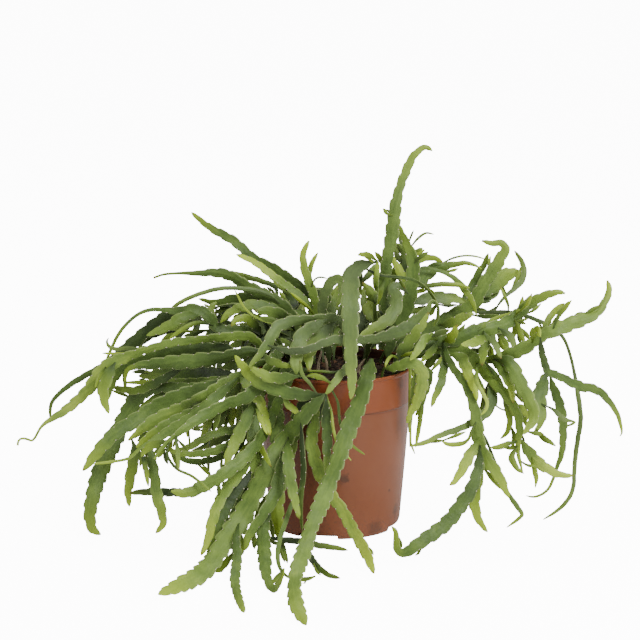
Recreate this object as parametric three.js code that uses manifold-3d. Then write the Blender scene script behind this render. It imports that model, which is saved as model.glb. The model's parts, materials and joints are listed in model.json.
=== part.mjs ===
// A trailing forest cactus, Lepismium bolivianum, in its plastic nursery pot.
// Millimetres, +Z up, the origin at the centre of the pot's flat underside, the front towards -Y.
import * as THREE from 'three';
import { mergeVertices } from 'three/addons/utils/BufferGeometryUtils.js';
import Module from 'manifold-3d';

const wasm = await Module();
wasm.setup();

// Pot: a 12 cm nursery pot
const potHeight = 127.4;
const rimRadius = 60;
const lipDepth = 3;
const lipBulge = 0.6;
const lipInset = 0.4;
const lipCrest = 0.6;
const lipTop = 0.7;
const collarFootHeight = 100;
const collarFootRadius = 58.8;
const bodyTopRadius = 57.8;
const bodyFootRadius = 50.2;
const bodyFootHeight = 6;
const footRadius = 47;
const footBevelHeight = 2.2;
const footBevelInset = 0.9;
const collarStep = 1;
const wallThickness = 1.2;
const floorThickness = 1.6;
const potSegments = 36;
const recessCount = 4;
const recessTurn = -106;
const recessWidth = 31;
const recessHeight = 3.8;
const recessDepth = 14;
const drainRadius = 3;
const drainSides = 10;
const drainLength = 12;
const cutMargin = 1;

// Soil
const soilHeight = 120.6;
const soilMound = 1.4;
const soilGap = 0.3;
const soilRings = 4;
const soilSpokes = 26;
const soilLump = 0.9;
const soilEdgeGap = 1.3;
const soilShoulderDrop = 5;
const soilShoulderInset = 0.5;
const soilFootInset = 1.8;
const soilFootRise = 0.6;
const holeRadius = 2.5;
const holeSides = 6;
const holeFloor = 109;
const holeLength = 30;

// Stems
const stubFoot = 109.4;
const stubTop = 123.6;
const stubWidth = 3;
const stubThickness = 2.4;
const leadHeight = 111.6;
const stemThickness = 2.3;
const slimThickness = 1.5;
const slimWidth = 3.6;
const fullWidth = 7;
const backShare = 0.4;
const straightEnough = 0.93;
const toothDepth = 0.13;
const ringStep = 9.2;
const slimRingStep = 12;
const sampleStep = 3;
const neckLength = 14;
const neckShare = 0.34;
const fullness = 1.12;
const bluntWidth = 5;
const bluntShare = 0.85;
const tipLength = 9;
const tipShare = 0.34;
const leastWidth = 1.4;
const groundGap = 0.5;
const potGap = 1.7;
const layerGap = 3.5;
const settleRounds = 220;

// The routes are drawn as the plant is seen from the front: across and up on a sheet through the plant's
// middle, which leans back with the line of sight, and fore, the distance in front of the pot's axis.
const sightTilt = THREE.MathUtils.degToRad(12);
const sightDistance = 1893;
const sheetMiddle = new THREE.Vector3(-11.15, 0, 160.8);
const sheetUpAtMiddle = 154.57;
const sheetUp = new THREE.Vector3(0, Math.sin(sightTilt), Math.cos(sightTilt));
const towardsEye = new THREE.Vector3(0, -Math.cos(sightTilt), Math.sin(sightTilt));
const eye = sheetMiddle.clone().addScaledVector(towardsEye, sightDistance);

// Each spray has the place of its foot in the soil, across and fore, and its stems. A stem is its widths, the
// fore of points spread evenly along it after its start, and its route. The first stem starts at the foot, and
// each other one at the nearest point of those before it.
const sprays = {
  hang_left: {
    foot: [-40, 20],
    stems: [
      [[3, 5, 9, 9, 8, 4], [26, 34, 46, 58],
        [-50, 124, -61, 119, -73, 112, -100, 96, -120, 86, -140, 77, -159, 62.5]],
      [[3, 6, 6, 10, 11, 11, 9, 2], [14, 0, -4, 12, 34, 44],
        [-73, 112, -88, 108, -105, 103.5, -138, 103, -150, 98, -161, 80, -171, 60, -180, 40, -186, 20,
          -188.5, 4, -186, -6, -180, -10]],
      [[3, 7, 8, 8, 4], [46, 60, 68], [-85, 106, -95, 92, -112, 82, -128, 74, -143, 65, -153, 57]],
      [[3, 7, 7, 7, 3, 2, 2], [44, 60, 76, 84],
        [-73, 111, -92, 95, -110, 80, -130, 68, -150, 56, -158, 49, -172, 46, -186, 44.5]],
      [[3, 8, 9, 9, 8, 5], [22, 34, 48, 60],
        [-74, 112, -95, 104, -110, 100, -125, 95, -140, 87, -150, 80, -170, 67, -184, 52, -194, 39]],
      [[3, 6.4, 6.6, 6, 3], [62, 72, 76], [-72, 111, -64, 101, -57, 90, -53, 78, -50, 66]],
      [[3, 5, 5, 4, 2], [4, -22, -34], [-74, 112, -88, 109, -105, 107.5, -135, 107, -163, 107]],
      [[3, 7, 8.5, 9, 6], [-10, -44, -56], [-74, 114, -90, 115, -110, 114, -130, 113.5, -151, 112]],
      [[3, 8, 7, 6, 3], [64, 70, 72], [-157, 64, -153, 54, -154, 47, -157, 35, -159, 22, -158, 11.5]],
      [[3, 6, 6, 7, 6, 2], [90, 96, 100],
        [-140, 61, -141, 48, -139, 38, -137, 20, -134, 10, -132.5, -2, -138, -9]],
      [[2, 4, 3], [88, 92], [-147, 56, -145.5, 40, -143.5, 27]],
      [[3, 8, 9.5, 8, 4], [6, -6, -12], [-96, 105, -112, 100.5, -126, 96.5, -138, 90.5, -148, 84]],
      [[3, 7, 8, 8, 4], [20, 10, 4], [-99, 89.5, -110, 84.5, -122, 78, -135, 70, -150, 61]],
    ],
  },
  hang_left_front: {
    foot: [-27, 36],
    stems: [
      [[3, 6, 8, 8, 7, 4, 3], [50, 72, 92, 104],
        [-36, 118, -48, 112, -58, 104, -70, 95, -80, 92, -100, 82, -118, 70, -130, 60, -139, 48]],
      [[2, 2, 2, 2], [112, 116], [-127, 62, -129, 52, -122, 41, -110, 35, -95, 23]],
      [[2, 3.4, 2.5], [108, 112], [-121, 66, -121, 52, -120, 39]],
    ],
  },
  hang_left_under: {
    foot: [-46, 6],
    stems: [
      [[3, 6, 6, 5, 4], [30, 50, 62, 72],
        [-58, 122, -66, 112, -68, 98, -68, 82, -76, 71, -90, 68, -104, 62, -115, 56, -127, 53]],
      [[2, 5, 5, 4, 3], [64, 74, 82], [-67, 78, -72, 66, -80, 60, -95, 54, -110, 52, -122, 53, -131, 58]],
      [[2, 5, 5, 4, 3], [60, 66, 70],
        [-68, 86, -72, 62, -80, 54, -95, 48, -110, 46.5, -120, 50, -128, 58]],
      [[2, 2.4, 2], [68, 72], [-106, 47, -98, 40, -95, 34]],
      [[2, 7, 8, 8, 5], [14, 6], [-66, 112, -74, 106, -79, 96, -80, 84, -79, 72]],
      [[2, 5, 6, 6, 4], [10, 2], [-79, 92, -85, 84, -88, 77, -90, 70]],
      [[2, 5, 6, 5, 3], [20, 10], [-80, 86, -90, 84, -97, 78, -100, 70, -103, 64]],
    ],
  },
  hang_front_left: {
    foot: [-14, 42],
    stems: [
      [[3, 5, 7, 8, 8, 6], [62, 80, 100, 116],
        [-24, 116, -35, 107.5, -43.5, 92, -51.5, 75, -60, 60, -70, 49, -85, 37, -100, 28, -115, 22,
          -126, 23.5]],
      [[3, 7, 7, 6, 3], [86, 112, 122],
        [-62, 58, -68, 45, -76, 34, -85, 22, -92, 8, -96, -6, -98, -15, -103, -26]],
      [[3, 5, 5, 5, 3], [80, 78], [-112, 23, -130, 22.5, -145, 23, -158, 22]],
    ],
  },
  column_left: {
    foot: [-33, 8],
    stems: [
      [[3, 6, 8.5, 8.5, 8.5, 6], [49, 65, 77, 85],
        [-40, 126, -47, 112, -54, 98, -60, 84, -63, 70, -62, 55, -62, 45, -61, 35, -60, 22]],
      [[3, 7.5, 8, 7, 5], [74, 84, 92], [-60, 90, -66, 78, -72, 70, -77, 60, -82, 50, -84, 41]],
      [[2, 3.5, 2], [84, 90], [-58, 80, -55, 72, -52, 67]],
      [[2, 4.5, 3], [92, 100], [-58, 64, -53, 50, -49, 42]],
      [[3, 7, 8, 6, 3], [90, 100, 112], [-61, 40, -68, 32, -76, 24, -86, 8, -92, -10, -98, -28]],
      [[3, 8, 8, 7, 3], [84, 88, 90], [-61, 36, -66, 26, -73, 12, -79, 0, -85, -13]],
    ],
  },
  column_middle: {
    foot: [-20, 22],
    stems: [
      [[3, 6, 9.5, 9.5, 9, 9, 5], [56, 68, 76, 84, 90],
        [-26, 124, -38, 112, -46, 96, -45, 80, -44, 65, -42, 50, -43, 30, -45, 12, -44, 0, -43, -14]],
      [[3, 7, 8.5, 8, 5, 4, 2], [104, 140, 172],
        [-45, 16, -52, 8, -55, -4, -55, -15, -54, -28, -53, -40, -50, -49, -47, -52, -42, -44,
          -39, -36]],
      [[2, 4, 3], [112, 124], [-43, -10, -40, -20, -36.5, -32]],
      [[2, 4, 4, 4, 3], [104, 100, 92], [-54, -10, -40, -14, -27, -15, -13, -18, 0, -20, 10, -22]],
    ],
  },
  front_hub: {
    foot: [12, 30],
    stems: [
      [[3, 3.6, 5, 6], [46, 62, 70, 74], [11.5, 121, 5, 114, -1, 106, -7, 98]],
      [[7, 10, 12.5, 12.5, 12.5, 12, 10, 5], [76, 83, 101, 138, 182],
        [-8, 96, -20, 85, -30, 73, -40, 60, -50, 42, -57, 30, -65, 15, -72, 2, -82, -12, -92, -28,
          -103, -40, -115, -47, -127, -53, -136, -56]],
      [[3, 7, 8, 8, 7, 5], [70, 66, 62],
        [-9, 98, -20, 97, -35, 99, -50, 104, -62, 110, -70, 118, -77, 128]],
      [[3, 6, 6, 6, 4], [72, 78, 86], [-6, 97, -7, 80, -6, 65, -6.5, 50, -7, 36]],
      [[2, 7, 8, 7, 7, 7, 4], [66, 68, 72, 104, 134],
        [-10, 94, -15, 78, -18, 62, -14, 44, -5, 25, 5, 10, 13, -5, 20, -16, 26, -28, 30, -40]],
      [[1.6, 1.9, 2, 1.6], [70, 74], [-2, 102, 2, 92, 3, 81, 5, 72, 9, 64, 14, 58, 23, 51.5]],
      [[1.6, 1.9, 2, 1.6], [76, 82], [-5, 97, -3, 85, -1, 70, 3, 58, 12.5, 47]],
      [[2, 3, 2.5], [64, 60], [-1, 106, -10, 111, -22, 112]],
      [[1.8, 1.8, 1.8], [60, 58], [8, 118, 0, 115, -10, 115.5, -22, 116]],
      [[2.5, 2.5, 2.5], [72, 74], [-12, 99, -20, 107, -25, 113, -27, 124]],
      [[2, 6, 7, 7, 4], [70, 66], [-25, 113, -35, 111, -50, 111, -66, 119]],
      [[3, 8, 8, 7, 5], [98, 104, 110], [-36, 66, -42, 38, -46, 22, -56, 5, -66, -10, -69, -22]],
      [[3, 6, 6, 5, 3], [124, 166, 222],
        [-74, -2, -76, -14, -75, -25, -76.5, -38, -77, -45, -75, -55, -70, -70]],
      [[3, 7, 7, 6, 3], [106, 112, 116], [-37, 62, -36, 45, -34, 32, -32, 20, -30, 12, -27.5, 2]],
      [[2, 3.6, 3.6, 3, 2], [88, 92, 98], [-26, 76, -25, 58, -24, 40, -26, 20, -26, 5, -25, -8]],
      [[2, 3, 3, 3, 1.6, 1.6], [96, 116, 136, 148],
        [-26, 28, -33, 14, -38, 0, -42, -12, -44, -24, -42, -36, -35, -43, -22, -45, -15, -42]],
      [[3, 5, 5, 3], [70, 69], [-42, 101, -37, 91, -31, 85.5, -25, 80.5]],
      [[3, 8, 8.5, 8, 4], [67, 65, 64, 65], [-7, 98, -17, 95, -25, 87, -30, 74, -33, 60, -33, 46]],
      [[3, 7, 8, 7, 4], [67, 65, 64], [-7, 97, -12, 89, -16, 76, -18, 62, -19, 48]],
      [[2, 4, 5, 4], [66, 62], [-3, 104, -10, 105.5, -16, 106, -21, 105.5]],
      [[2, 6, 7, 6, 3], [62, 66], [-19, 62, -18, 52, -12, 42, -9, 30]],
    ],
  },
  front_long: {
    foot: [30, 36],
    stems: [
      [[3, 3, 4], [38, 42], [30, 116, 29, 121, 28, 125]],
      [[8, 10, 10.5, 10, 10, 9.5, 9, 9, 9, 4], [70, 77, 85, 98, 114, 138, 164, 192, 220, 248],
        [28, 125, 26, 116, 24, 108, 22, 100, 19, 91, 15, 82, 11, 72, 7, 61, 2, 46, -5, 28, -12, 10,
          -18, -5, -23, -20, -29, -38, -31, -50, -30, -62, -27, -70, -22, -79.5]],
      [[2, 4, 4, 3], [122, 142], [-22, -18, -17, -30, -12, -36, -5, -41, 4, -43.5]],
    ],
  },
  fall_middle: {
    foot: [24, -14],
    stems: [
      [[3, 4, 3, 3, 4], [-6, 4, 10], [27, 138, 31, 150, 31, 165, 32, 175, 32, 187, 33, 200]],
      [[3, 10, 11, 10.5, 9, 6.5, 3.5], [26, 50, 66, 74],
        [33, 200, 22, 197, 14, 191, 12, 178, 12, 160, 12.5, 140, 12.5, 120, 13, 103, 12, 94]],
      [[3, 5, 5, 4], [14, 18], [32, 203, 25, 205.5, 18, 205]],
      [[2, 2, 2, 2, 2], [-4, -10, -4],
        [20, 194, 35, 190, 50, 188, 60, 186, 68, 181.5, 75, 174, 79, 166, 79, 158, 76, 150]],
      [[2, 7, 7, 4], [20, 26], [31, 168, 27, 177, 21, 184]],
      [[2, 4, 4, 3], [10, 6], [20, 194, 19.5, 187, 19, 180, 20, 174]],
      [[3, 8, 9, 6], [-14, -20], [31, 152, 27, 158, 26, 165, 29, 172]],
      [[1.6, 2, 2], [8, 10], [32, 196, 30, 189, 30, 179]],
    ],
  },
  middle_fold: {
    foot: [8, 10],
    stems: [
      [[3, 6, 6.5, 6.5, 7, 7, 4], [24, 44, 60, 70],
        [9, 135, 8, 150, 0, 156, -20, 155.5, -35, 153.5, -45, 149, -50, 140, -57, 130, -66, 119]],
      [[3, 8, 9, 8, 5], [40, 56, 64], [2, 154, -8, 146, -16, 137, -20, 128, -20, 116]],
      [[3, 8, 9, 9, 6], [48, 60, 68], [-6, 155, -16, 150, -24, 145, -28, 137, -30, 126, -30, 113]],
      [[2, 5, 5, 5.5, 6, 8, 8, 2.4, 2], [66, 50, 34, 24, 16],
        [-52, 136, -35, 131.5, -20, 133, -10, 137, 0, 140, 15, 140, 30, 141, 45, 145, 55, 149, 62, 154,
          70, 162, 75, 170, 79, 166, 79.5, 158, 77, 151]],
      [[2, 6, 6, 4], [58, 60], [-57, 130, -50, 124, -42, 121, -33, 119]],
    ],
  },
  crown_middle: {
    foot: [-4, -8],
    stems: [
      [[3, 7, 7, 7, 6, 4], [-4, 0, 4, 6],
        [-6, 140, -9, 160, -8, 172, -4, 182, 2, 187, 6, 181, 4, 172, 1, 165]],
      [[2, 6, 8, 6, 3], [-16, -20], [-8, 152, -4, 160, 0, 170, 3, 180]],
    ],
  },
  crown_right: {
    foot: [41, -10],
    stems: [
      [[3, 7, 9, 9, 9, 8, 6, 3], [-14, -16, -18, -20],
        [42, 134, 47, 145, 52, 157, 56, 168, 58, 178, 60, 190, 60, 200, 57, 210, 53, 219, 49, 229]],
      [[3, 6, 8, 8.5, 8.5, 8, 7, 5, 3], [-6, 0, 2, 0, -6],
        [48, 150, 40, 162, 36, 174, 38.5, 188, 40, 200, 43, 215, 45, 230, 47, 245, 51, 260, 55, 270,
          59, 279, 64, 285, 70, 288, 75, 285]],
      [[2, 4, 3], [4, 6], [44, 234, 40, 237, 37, 240.5]],
      [[3, 8, 9, 6, 3], [-30, -34], [58, 184, 55, 194, 54, 203, 51, 211, 47.5, 214]],
      [[2, 6, 6, 3], [-8, -4], [57, 180, 53, 187, 49, 194, 45.5, 200, 43.5, 205]],
      [[2, 6, 8, 8, 7, 4], [0, 12, 24],
        [56, 174, 50, 181, 45, 180, 47.5, 171, 46, 163, 40, 155, 30, 149, 19, 143]],
      [[2, 2.5, 2], [-22, -22], [56, 212, 58, 218, 60.5, 224]],
      [[2, 2, 1.5], [-26, -30], [58, 210, 64, 218, 70, 222, 76, 221]],
      [[2, 4, 3], [-14, -10], [59, 198, 65, 203, 72, 207.5]],
      [[2, 5, 5, 4], [-26, -32], [60, 196, 68, 202.5, 76, 203, 83, 199.5]],
      [[2, 2, 2.4, 3, 4.5, 4, 1.6], [-26, -30, -26, -20],
        [59, 184, 64, 193, 68, 195.5, 75, 194, 85, 191, 93, 186, 100, 178, 106, 169, 109, 158]],
      [[3, 7, 8, 8.5, 5], [-22, -28], [56, 166, 66, 170, 74, 172, 85, 171.5, 92, 171, 101, 169]],
      [[2, 3.5, 3.5, 3.5, 3], [-18, -22],
        [58, 179, 71, 181, 80, 182.5, 89, 182.5, 97, 181.5, 104, 179.5]],
      [[2, 8, 9, 6, 4, 3, 1.6], [-34, -36, -34],
        [58, 176, 65, 185, 71, 191, 78, 195.5, 85, 196.5, 93, 198, 100, 199, 108, 197, 113, 194]],
      [[1.6, 1.6, 1.6], [-38, -42], [78, 195, 85, 200, 92, 203, 100, 204.5, 108, 204, 115, 202]],
      [[2, 6, 7, 5], [-24, -28], [44, 148, 37, 152, 31, 158, 27, 166, 24, 172]],
      [[2, 4, 4, 3], [-2, -8], [38, 188, 36.5, 181, 34, 173, 32, 166]],
      [[2, 6, 7, 4], [-14, -18], [37, 176, 42, 182, 45, 190, 47, 198]],
    ],
  },
  crown_left: {
    foot: [-16, -22],
    stems: [
      [[3, 4, 5, 6, 5, 4], [-30, -34, -38],
        [-15, 140, -14, 155, -14, 166, -17, 176, -22, 190, -24.5, 200, -24, 208, -20, 216]],
      [[2, 4, 3], [-42, -44], [-19, 182, -19, 193, -17, 200, -13, 207]],
      [[1.6, 1.6, 1.6], [-30, -28], [-18, 180, -17, 184, -14, 187.5, -10, 188, -6, 187]],
      [[2, 6, 6, 6, 6, 5, 3], [-40, -48, -54],
        [-14, 164, -22, 177, -33, 186, -47, 195, -62, 202, -78, 216, -96, 226.5, -110.5, 238]],
      [[2, 5, 5, 5, 3], [-34, -38], [-14, 158, -22, 169, -33, 178, -48, 189, -62, 199, -76, 205.5]],
      [[2, 2.6, 2.6], [-20, -16], [-14, 155, -20, 164, -28, 171, -34, 176]],
    ],
  },
  crown_left_back: {
    foot: [-32, -22],
    stems: [
      [[3, 5, 8, 8, 8, 7, 4, 2, 1.6], [-28, -34, -38, -40],
        [-31, 140, -31, 152, -36, 162, -45, 169, -60, 177, -68, 181, -75, 186, -83, 190, -92, 191.5,
          -105, 191, -120, 191, -132, 190, -139.5, 187.5]],
      [[2, 3.5, 4, 3], [-50, -54], [-42, 168, -46, 180, -55, 184.5, -65, 187.5, -75, 190.5, -84, 192]],
      [[2, 3, 3, 3, 3], [-22, -18, -14],
        [-40, 166, -50, 174, -60, 177.5, -70, 179, -80, 179.7, -90, 179, -100, 176.5, -110, 173,
          -120, 168, -127, 163]],
      [[2, 7, 9, 8, 5, 2], [-46, -52],
        [-38, 164, -52, 171, -66, 171.5, -80, 170, -92, 168.5, -105, 171.5]],
      [[2, 6, 7, 6, 3], [-14, -8], [-36, 160, -50, 164.5, -63, 166.5, -74, 164, -82, 160, -88, 153]],
      [[2, 8, 8, 4], [-4, 4], [-31, 148, -38, 157, -50, 161.5, -62, 162]],
      [[1.6, 1.6, 1.6], [-12, -8], [-32, 146, -47, 151.5, -57, 155, -64, 159, -70, 165, -77, 178]],
      [[1.6, 2, 2], [-24, -20], [-34, 158, -56, 160, -65, 155, -69, 158, -75, 158, -80, 154]],
      [[2, 6, 7, 4], [-58, -62], [-34, 160, -31, 168, -37, 178, -45, 187]],
    ],
  },
  arch_left: {
    foot: [-45, -22],
    stems: [
      [[3, 6, 7, 7, 7, 3, 2.5, 2.5, 2], [-16, -10, -8, -6],
        [-50, 134, -60, 145, -72, 147, -85, 147, -92, 150, -98, 158, -107, 163, -120, 162, -140, 163,
          -150, 160, -160, 152, -167, 143, -172, 133, -177, 121]],
      [[3, 8, 8, 8, 8, 4.5, 4, 3, 2], [-22, -28, -26, -20],
        [-98, 158, -110, 161, -130, 157, -150, 142, -172, 123, -190, 113.5, -208, 102, -218, 91,
          -219, 77]],
      [[2, 7, 7, 4], [0, 4], [-99, 159, -118, 157, -125, 152, -133, 148, -145, 143]],
      [[2, 3, 3], [4, 8], [-93, 151, -104, 153, -112, 151, -120, 146, -128, 140]],
      [[2, 2, 2], [-30, -34], [-90, 149, -98, 147, -110, 146.5, -121, 146]],
      [[2, 7, 7, 3], [-16, -20], [-89, 149, -94, 156, -96, 163, -91, 169]],
      [[2, 6, 6, 3], [4, 8], [-56, 143, -63, 152, -70, 156.5, -76, 155, -80, 150]],
    ],
  },
  reach_left: {
    foot: [-52, -8],
    stems: [
      [[3, 6, 6, 5, 5, 8, 9, 6, 2, 1.8], [0, 10, 14, 20, 26, 30],
        [-57, 134, -65, 142, -85, 142, -100, 141, -110, 139.5, -123, 138, -140, 134, -160, 127,
          -176, 119, -190, 102, -207, 86, -225, 74, -233, 62.5, -238, 64, -243, 63, -244, 58.5]],
      [[3, 8, 8, 7, 4], [30, 40], [-168, 124, -174, 113, -178, 101, -177, 93, -174, 83]],
      [[2, 3, 2], [34, 38], [-176, 119, -182, 111, -184.5, 103]],
      [[2, 3, 3, 2], [0, -6], [-146, 132.5, -160, 133, -168, 132.5, -173, 134, -175.5, 138, -174, 141.5]],
      [[2, 2, 2], [2, -2], [-143, 133, -160, 129.5, -179, 129.5]],
    ],
  },
  wide_left: {
    foot: [-52, 14],
    stems: [
      [[3, 6, 8, 9, 9, 9, 8, 4, 3], [20, 20, 14, 10],
        [-61, 126, -75, 127, -95, 125, -115, 123, -130, 122, -145, 120.5, -155, 119, -160, 116,
          -161.5, 108]],
      [[2, 5, 6, 4], [6, -8], [-110, 123, -128, 112, -153, 101, -171, 103.5]],
      [[3, 8, 9, 9, 8, 8, 8, 5], [4, 0, -4, -4],
        [-72, 128, -84, 132, -98, 132.5, -115, 133, -130, 129.5, -145, 124.5, -158, 120.5, -168, 115,
          -173, 106, -175, 93]],
    ],
  },
  right_arm: {
    foot: [50, -6],
    stems: [
      [[3, 4, 3.5, 3, 5, 9, 9, 8.5, 6, 3], [20, 34, 40, 40, 30, 10],
        [58, 132, 72, 137, 84, 136, 100, 131, 117, 124.5, 130, 127.5, 145, 133, 152, 137.5, 160, 143,
          168, 147, 176, 150, 185, 153.5, 195, 157, 202, 161, 206, 166, 209, 172, 211, 178,
          209.5, 185.5]],
      [[2, 4.5, 4.5, 3], [24, 20], [160, 144, 163, 153, 168, 161, 173, 166, 176.5, 168]],
      [[2, 3, 3, 2.5], [36, 40], [166, 146, 172, 158, 178, 165, 182, 170.5]],
      [[3, 6, 6, 4], [48, 62], [150, 137, 153, 145, 156, 148, 158, 142]],
      [[3, 4, 4.5, 5, 5, 6, 5.5, 4, 3, 1.6], [32, 22, 16, 14],
        [158, 142, 159, 131, 161, 123, 164, 115, 172, 112, 180, 108, 190, 104, 200, 102, 206, 98,
          212, 91, 217, 83, 219.5, 75, 220.5, 68, 219, 65.5]],
      [[3, 9, 9, 8, 6, 4], [40, 50, 56],
        [163, 116, 160, 106, 157, 97, 158, 88, 159, 80, 157, 74, 153, 69]],
      [[3, 6, 6, 5, 4, 2.4, 2, 1.6], [30, 30, 32, 34],
        [164, 115, 168, 104, 171, 96, 173.5, 88, 175, 78, 175.5, 65, 174.5, 52, 171, 42, 168, 33,
          164, 25, 158, 20.5, 152, 19, 147, 20]],
      [[1.6, 2, 4, 2], [56, 60], [159, 90, 168, 86, 173, 81, 178, 78, 185, 77]],
      [[2, 4.5, 4.5, 2.5], [66, 72], [154, 71, 158, 66, 164, 62, 170, 58]],
      [[3, 8, 8.5, 8.5, 8, 7, 4], [56, 66, 74],
        [120, 125, 128, 124.5, 134, 122, 139, 114, 143, 105, 148, 96, 152, 87, 153, 80, 149, 73,
          145, 67]],
      [[3, 6, 6.5, 6, 3], [52, 60], [119, 124.5, 127, 119, 132, 111, 136, 101, 137, 91]],
    ],
  },
  right_up: {
    foot: [36, -28],
    stems: [
      [[3, 5, 7, 9, 9, 9, 9, 8, 5, 3], [-34, -40, -44, -46],
        [48, 140, 64, 146, 80, 152, 90, 158, 100, 163, 108, 170, 113, 180, 120, 191, 127, 202,
          131, 210, 129, 214, 121, 214, 113, 216]],
      [[3, 9, 11, 11, 9], [-56, -64], [108, 171, 113, 175, 120, 181, 128, 187, 135, 191, 142, 193]],
      [[2, 3.5, 5, 5, 3], [-54, -58],
        [92, 159, 97, 167, 102, 176, 106, 182, 110, 190, 115, 198, 118, 206.5]],
      [[2, 3.5, 3, 3, 2.4, 2.4, 3.4, 3.4, 3.4, 3, 3, 1.6], [-38, -26, -12, 0, 4, 6],
        [101, 163.5, 110, 161, 120, 161, 130, 161, 140, 160, 150, 157, 160, 153, 168, 150, 172, 146,
          177, 139, 181, 128, 184, 115, 186, 103, 188, 90, 189, 78, 187, 64, 185, 50, 184, 38,
          183.5, 28, 181, 20, 176, 13, 169, 7, 160, 1.5]],
      [[2, 2.4, 4, 4, 3], [-50, -60],
        [121, 161, 130, 172, 139, 180, 144.5, 187, 145, 196, 142, 203, 138, 208.5]],
      [[2, 2.5, 2.5], [-30, -34], [134, 161, 133, 167, 130, 174, 127, 181]],
      [[2, 6, 8, 7, 3], [-30, -34], [80, 150, 90, 152.5, 99, 157, 107, 160]],
      [[2, 6, 8, 4], [-50, -56], [106, 167, 114, 170, 121, 175, 128, 181]],
    ],
  },
  right_low: {
    foot: [47, 12],
    stems: [
      [[3, 5, 6, 8, 10, 10, 9, 8, 7, 6, 5], [30, 30, 20, 8, 0],
        [56, 127, 66, 133, 76, 138, 88, 139, 100, 143, 113, 147, 127, 150, 137, 156, 146, 164,
          155, 170.5, 165, 175, 172, 176.5, 177, 175.5]],
      [[2, 4, 4], [2, 0], [138, 157, 143, 166, 144.5, 173.5]],
      [[2, 3, 3], [14, 18], [140, 159, 147, 166, 151.5, 175.5]],
      [[3, 5, 5, 4], [16, 24], [137, 156, 141, 150, 143, 144, 146, 137]],
      [[2, 6, 6, 4], [30, 36], [125, 150, 133, 144, 137, 138, 137.5, 130]],
      [[2, 3, 3, 2], [6, 0], [108, 146, 117, 152.5, 123, 156, 130, 158.5, 137, 161]],
      [[3, 7, 7, 5], [44, 50], [84, 139, 89, 141, 92, 147, 94, 151.5]],
      [[3, 5.5, 5.5, 5.5, 4], [46, 54, 58], [82, 139, 84, 125, 83, 115, 81, 105, 77, 97, 74, 88]],
      [[3, 4.5, 5, 6, 8, 8, 7, 3], [58, 70, 80, 88],
        [83, 139, 88, 124, 94, 114, 100, 106, 105, 95, 108, 84, 110, 72, 111, 62, 113, 55, 118, 46,
          124, 38, 129, 29, 134, 18.5]],
      [[3, 6, 8, 8.5, 8.5, 8.5, 7, 5, 2], [88, 96, 104, 112, 108],
        [110, 60, 111, 48, 109, 38, 104, 24, 98, 15, 92, 6, 84, -3, 76, -9, 67, -15, 58, -21, 52, -24,
          47.5, -19, 47.5, -12, 46.5, -7, 43.5, -3.5]],
      [[3, 6, 7, 7, 6, 3], [82, 88, 94],
        [111, 56, 112, 42, 110, 30, 108, 22, 107.5, 13, 109.5, 5, 113, -2, 117.5, -8]],
      [[3, 6, 7, 6, 3], [92, 100], [109, 64, 107, 57, 103, 50, 100, 44, 96, 37, 92, 31, 88, 28]],
      [[3, 3, 2, 2, 2, 2.4, 3.6, 3, 1.4], [66, 64, 62, 62],
        [108, 80, 112, 69, 116, 63, 120, 54, 124, 44, 128, 34, 132, 24, 137, 16, 142, 9, 144, 5.5,
          141, 2, 137, -1, 132, -4.5]],
      [[1.8, 2, 2, 3.5, 3.5, 3], [74, 78],
        [108, 78, 105, 70, 103, 64, 99, 60.5, 93, 59.5, 87, 59.5, 82, 62]],
      [[3, 7, 7, 6, 3], [60, 66], [90, 131, 97, 126, 101, 118, 105, 108, 108, 100, 109.5, 93]],
      [[3, 5, 6.5, 6, 3], [58, 64], [80, 139, 74, 142, 68, 139, 64, 132, 60, 127, 57.5, 124]],
      [[3, 7, 7, 7, 4], [40, 50], [113, 147, 116, 141, 115, 134, 114, 128, 113, 120]],
      [[3, 5, 5, 5, 3], [46, 54], [117, 147, 121, 140, 125, 132, 128, 125]],
      [[3, 7, 7, 3], [58, 66], [114, 142, 108, 137.5, 103, 136.5, 97, 136]],
      [[2, 5, 5, 3], [6, 10], [125, 148, 128, 142, 132, 135, 130, 129]],
      [[3, 6, 7, 6, 3], [30, 34], [78, 139, 75, 132, 70, 127, 66, 123]],
    ],
  },
  right_middle: {
    foot: [44, 26],
    stems: [
      [[3, 6, 7, 7, 6, 4], [34, 36, 30], [49, 124, 53, 133, 58, 139, 63, 146, 68, 153, 72, 161]],
      [[2, 2.5, 3], [38, 44], [49, 125, 44, 127, 40, 123, 38.5, 118.5]],
      [[2, 3, 3], [44, 48], [50, 127, 57, 129, 63, 131]],
    ],
  },
  right_fall: {
    foot: [54, 2],
    stems: [
      [[3, 4, 7, 9, 9, 7, 6, 6, 5, 3, 2], [24, 40, 50, 58, 62],
        [64, 128, 75, 131, 88, 133, 98, 131, 107, 124, 117, 113, 124, 105, 131, 98, 137, 89, 141, 80,
          142, 70, 141, 62, 141, 52, 143, 43, 144, 38]],
      [[2, 4, 4.5, 4], [66, 72], [140, 63, 133, 60, 127, 57.5, 119.5, 57]],
      [[2, 5, 5, 4, 1.6], [66, 72], [141, 58, 136, 50, 138, 44, 142, 39, 145.5, 37]],
      [[3, 6, 7, 7, 6, 5, 2.4], [54, 50, 48],
        [142, 66, 149, 54, 156, 46, 163, 41, 170, 37, 177, 35.5, 183.5, 35.5]],
      [[2, 3, 3], [60, 58], [143, 46, 149, 43, 155, 43.5]],
      [[2, 4, 4, 1.6], [58, 62], [150, 52, 153, 42, 155, 33, 154, 26]],
      [[2, 5, 5, 4], [46, 42], [138, 88, 142, 89, 146, 84, 148, 78]],
      [[2, 4.5, 4.5, 4, 2.5], [52, 50], [128, 101, 132, 90, 134.5, 82, 134.5, 74, 132, 68, 127, 63.5]],
      [[3, 6, 6.5, 6, 5, 4, 4, 3.5, 3.5, 2], [44, 52, 58, 64],
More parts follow.
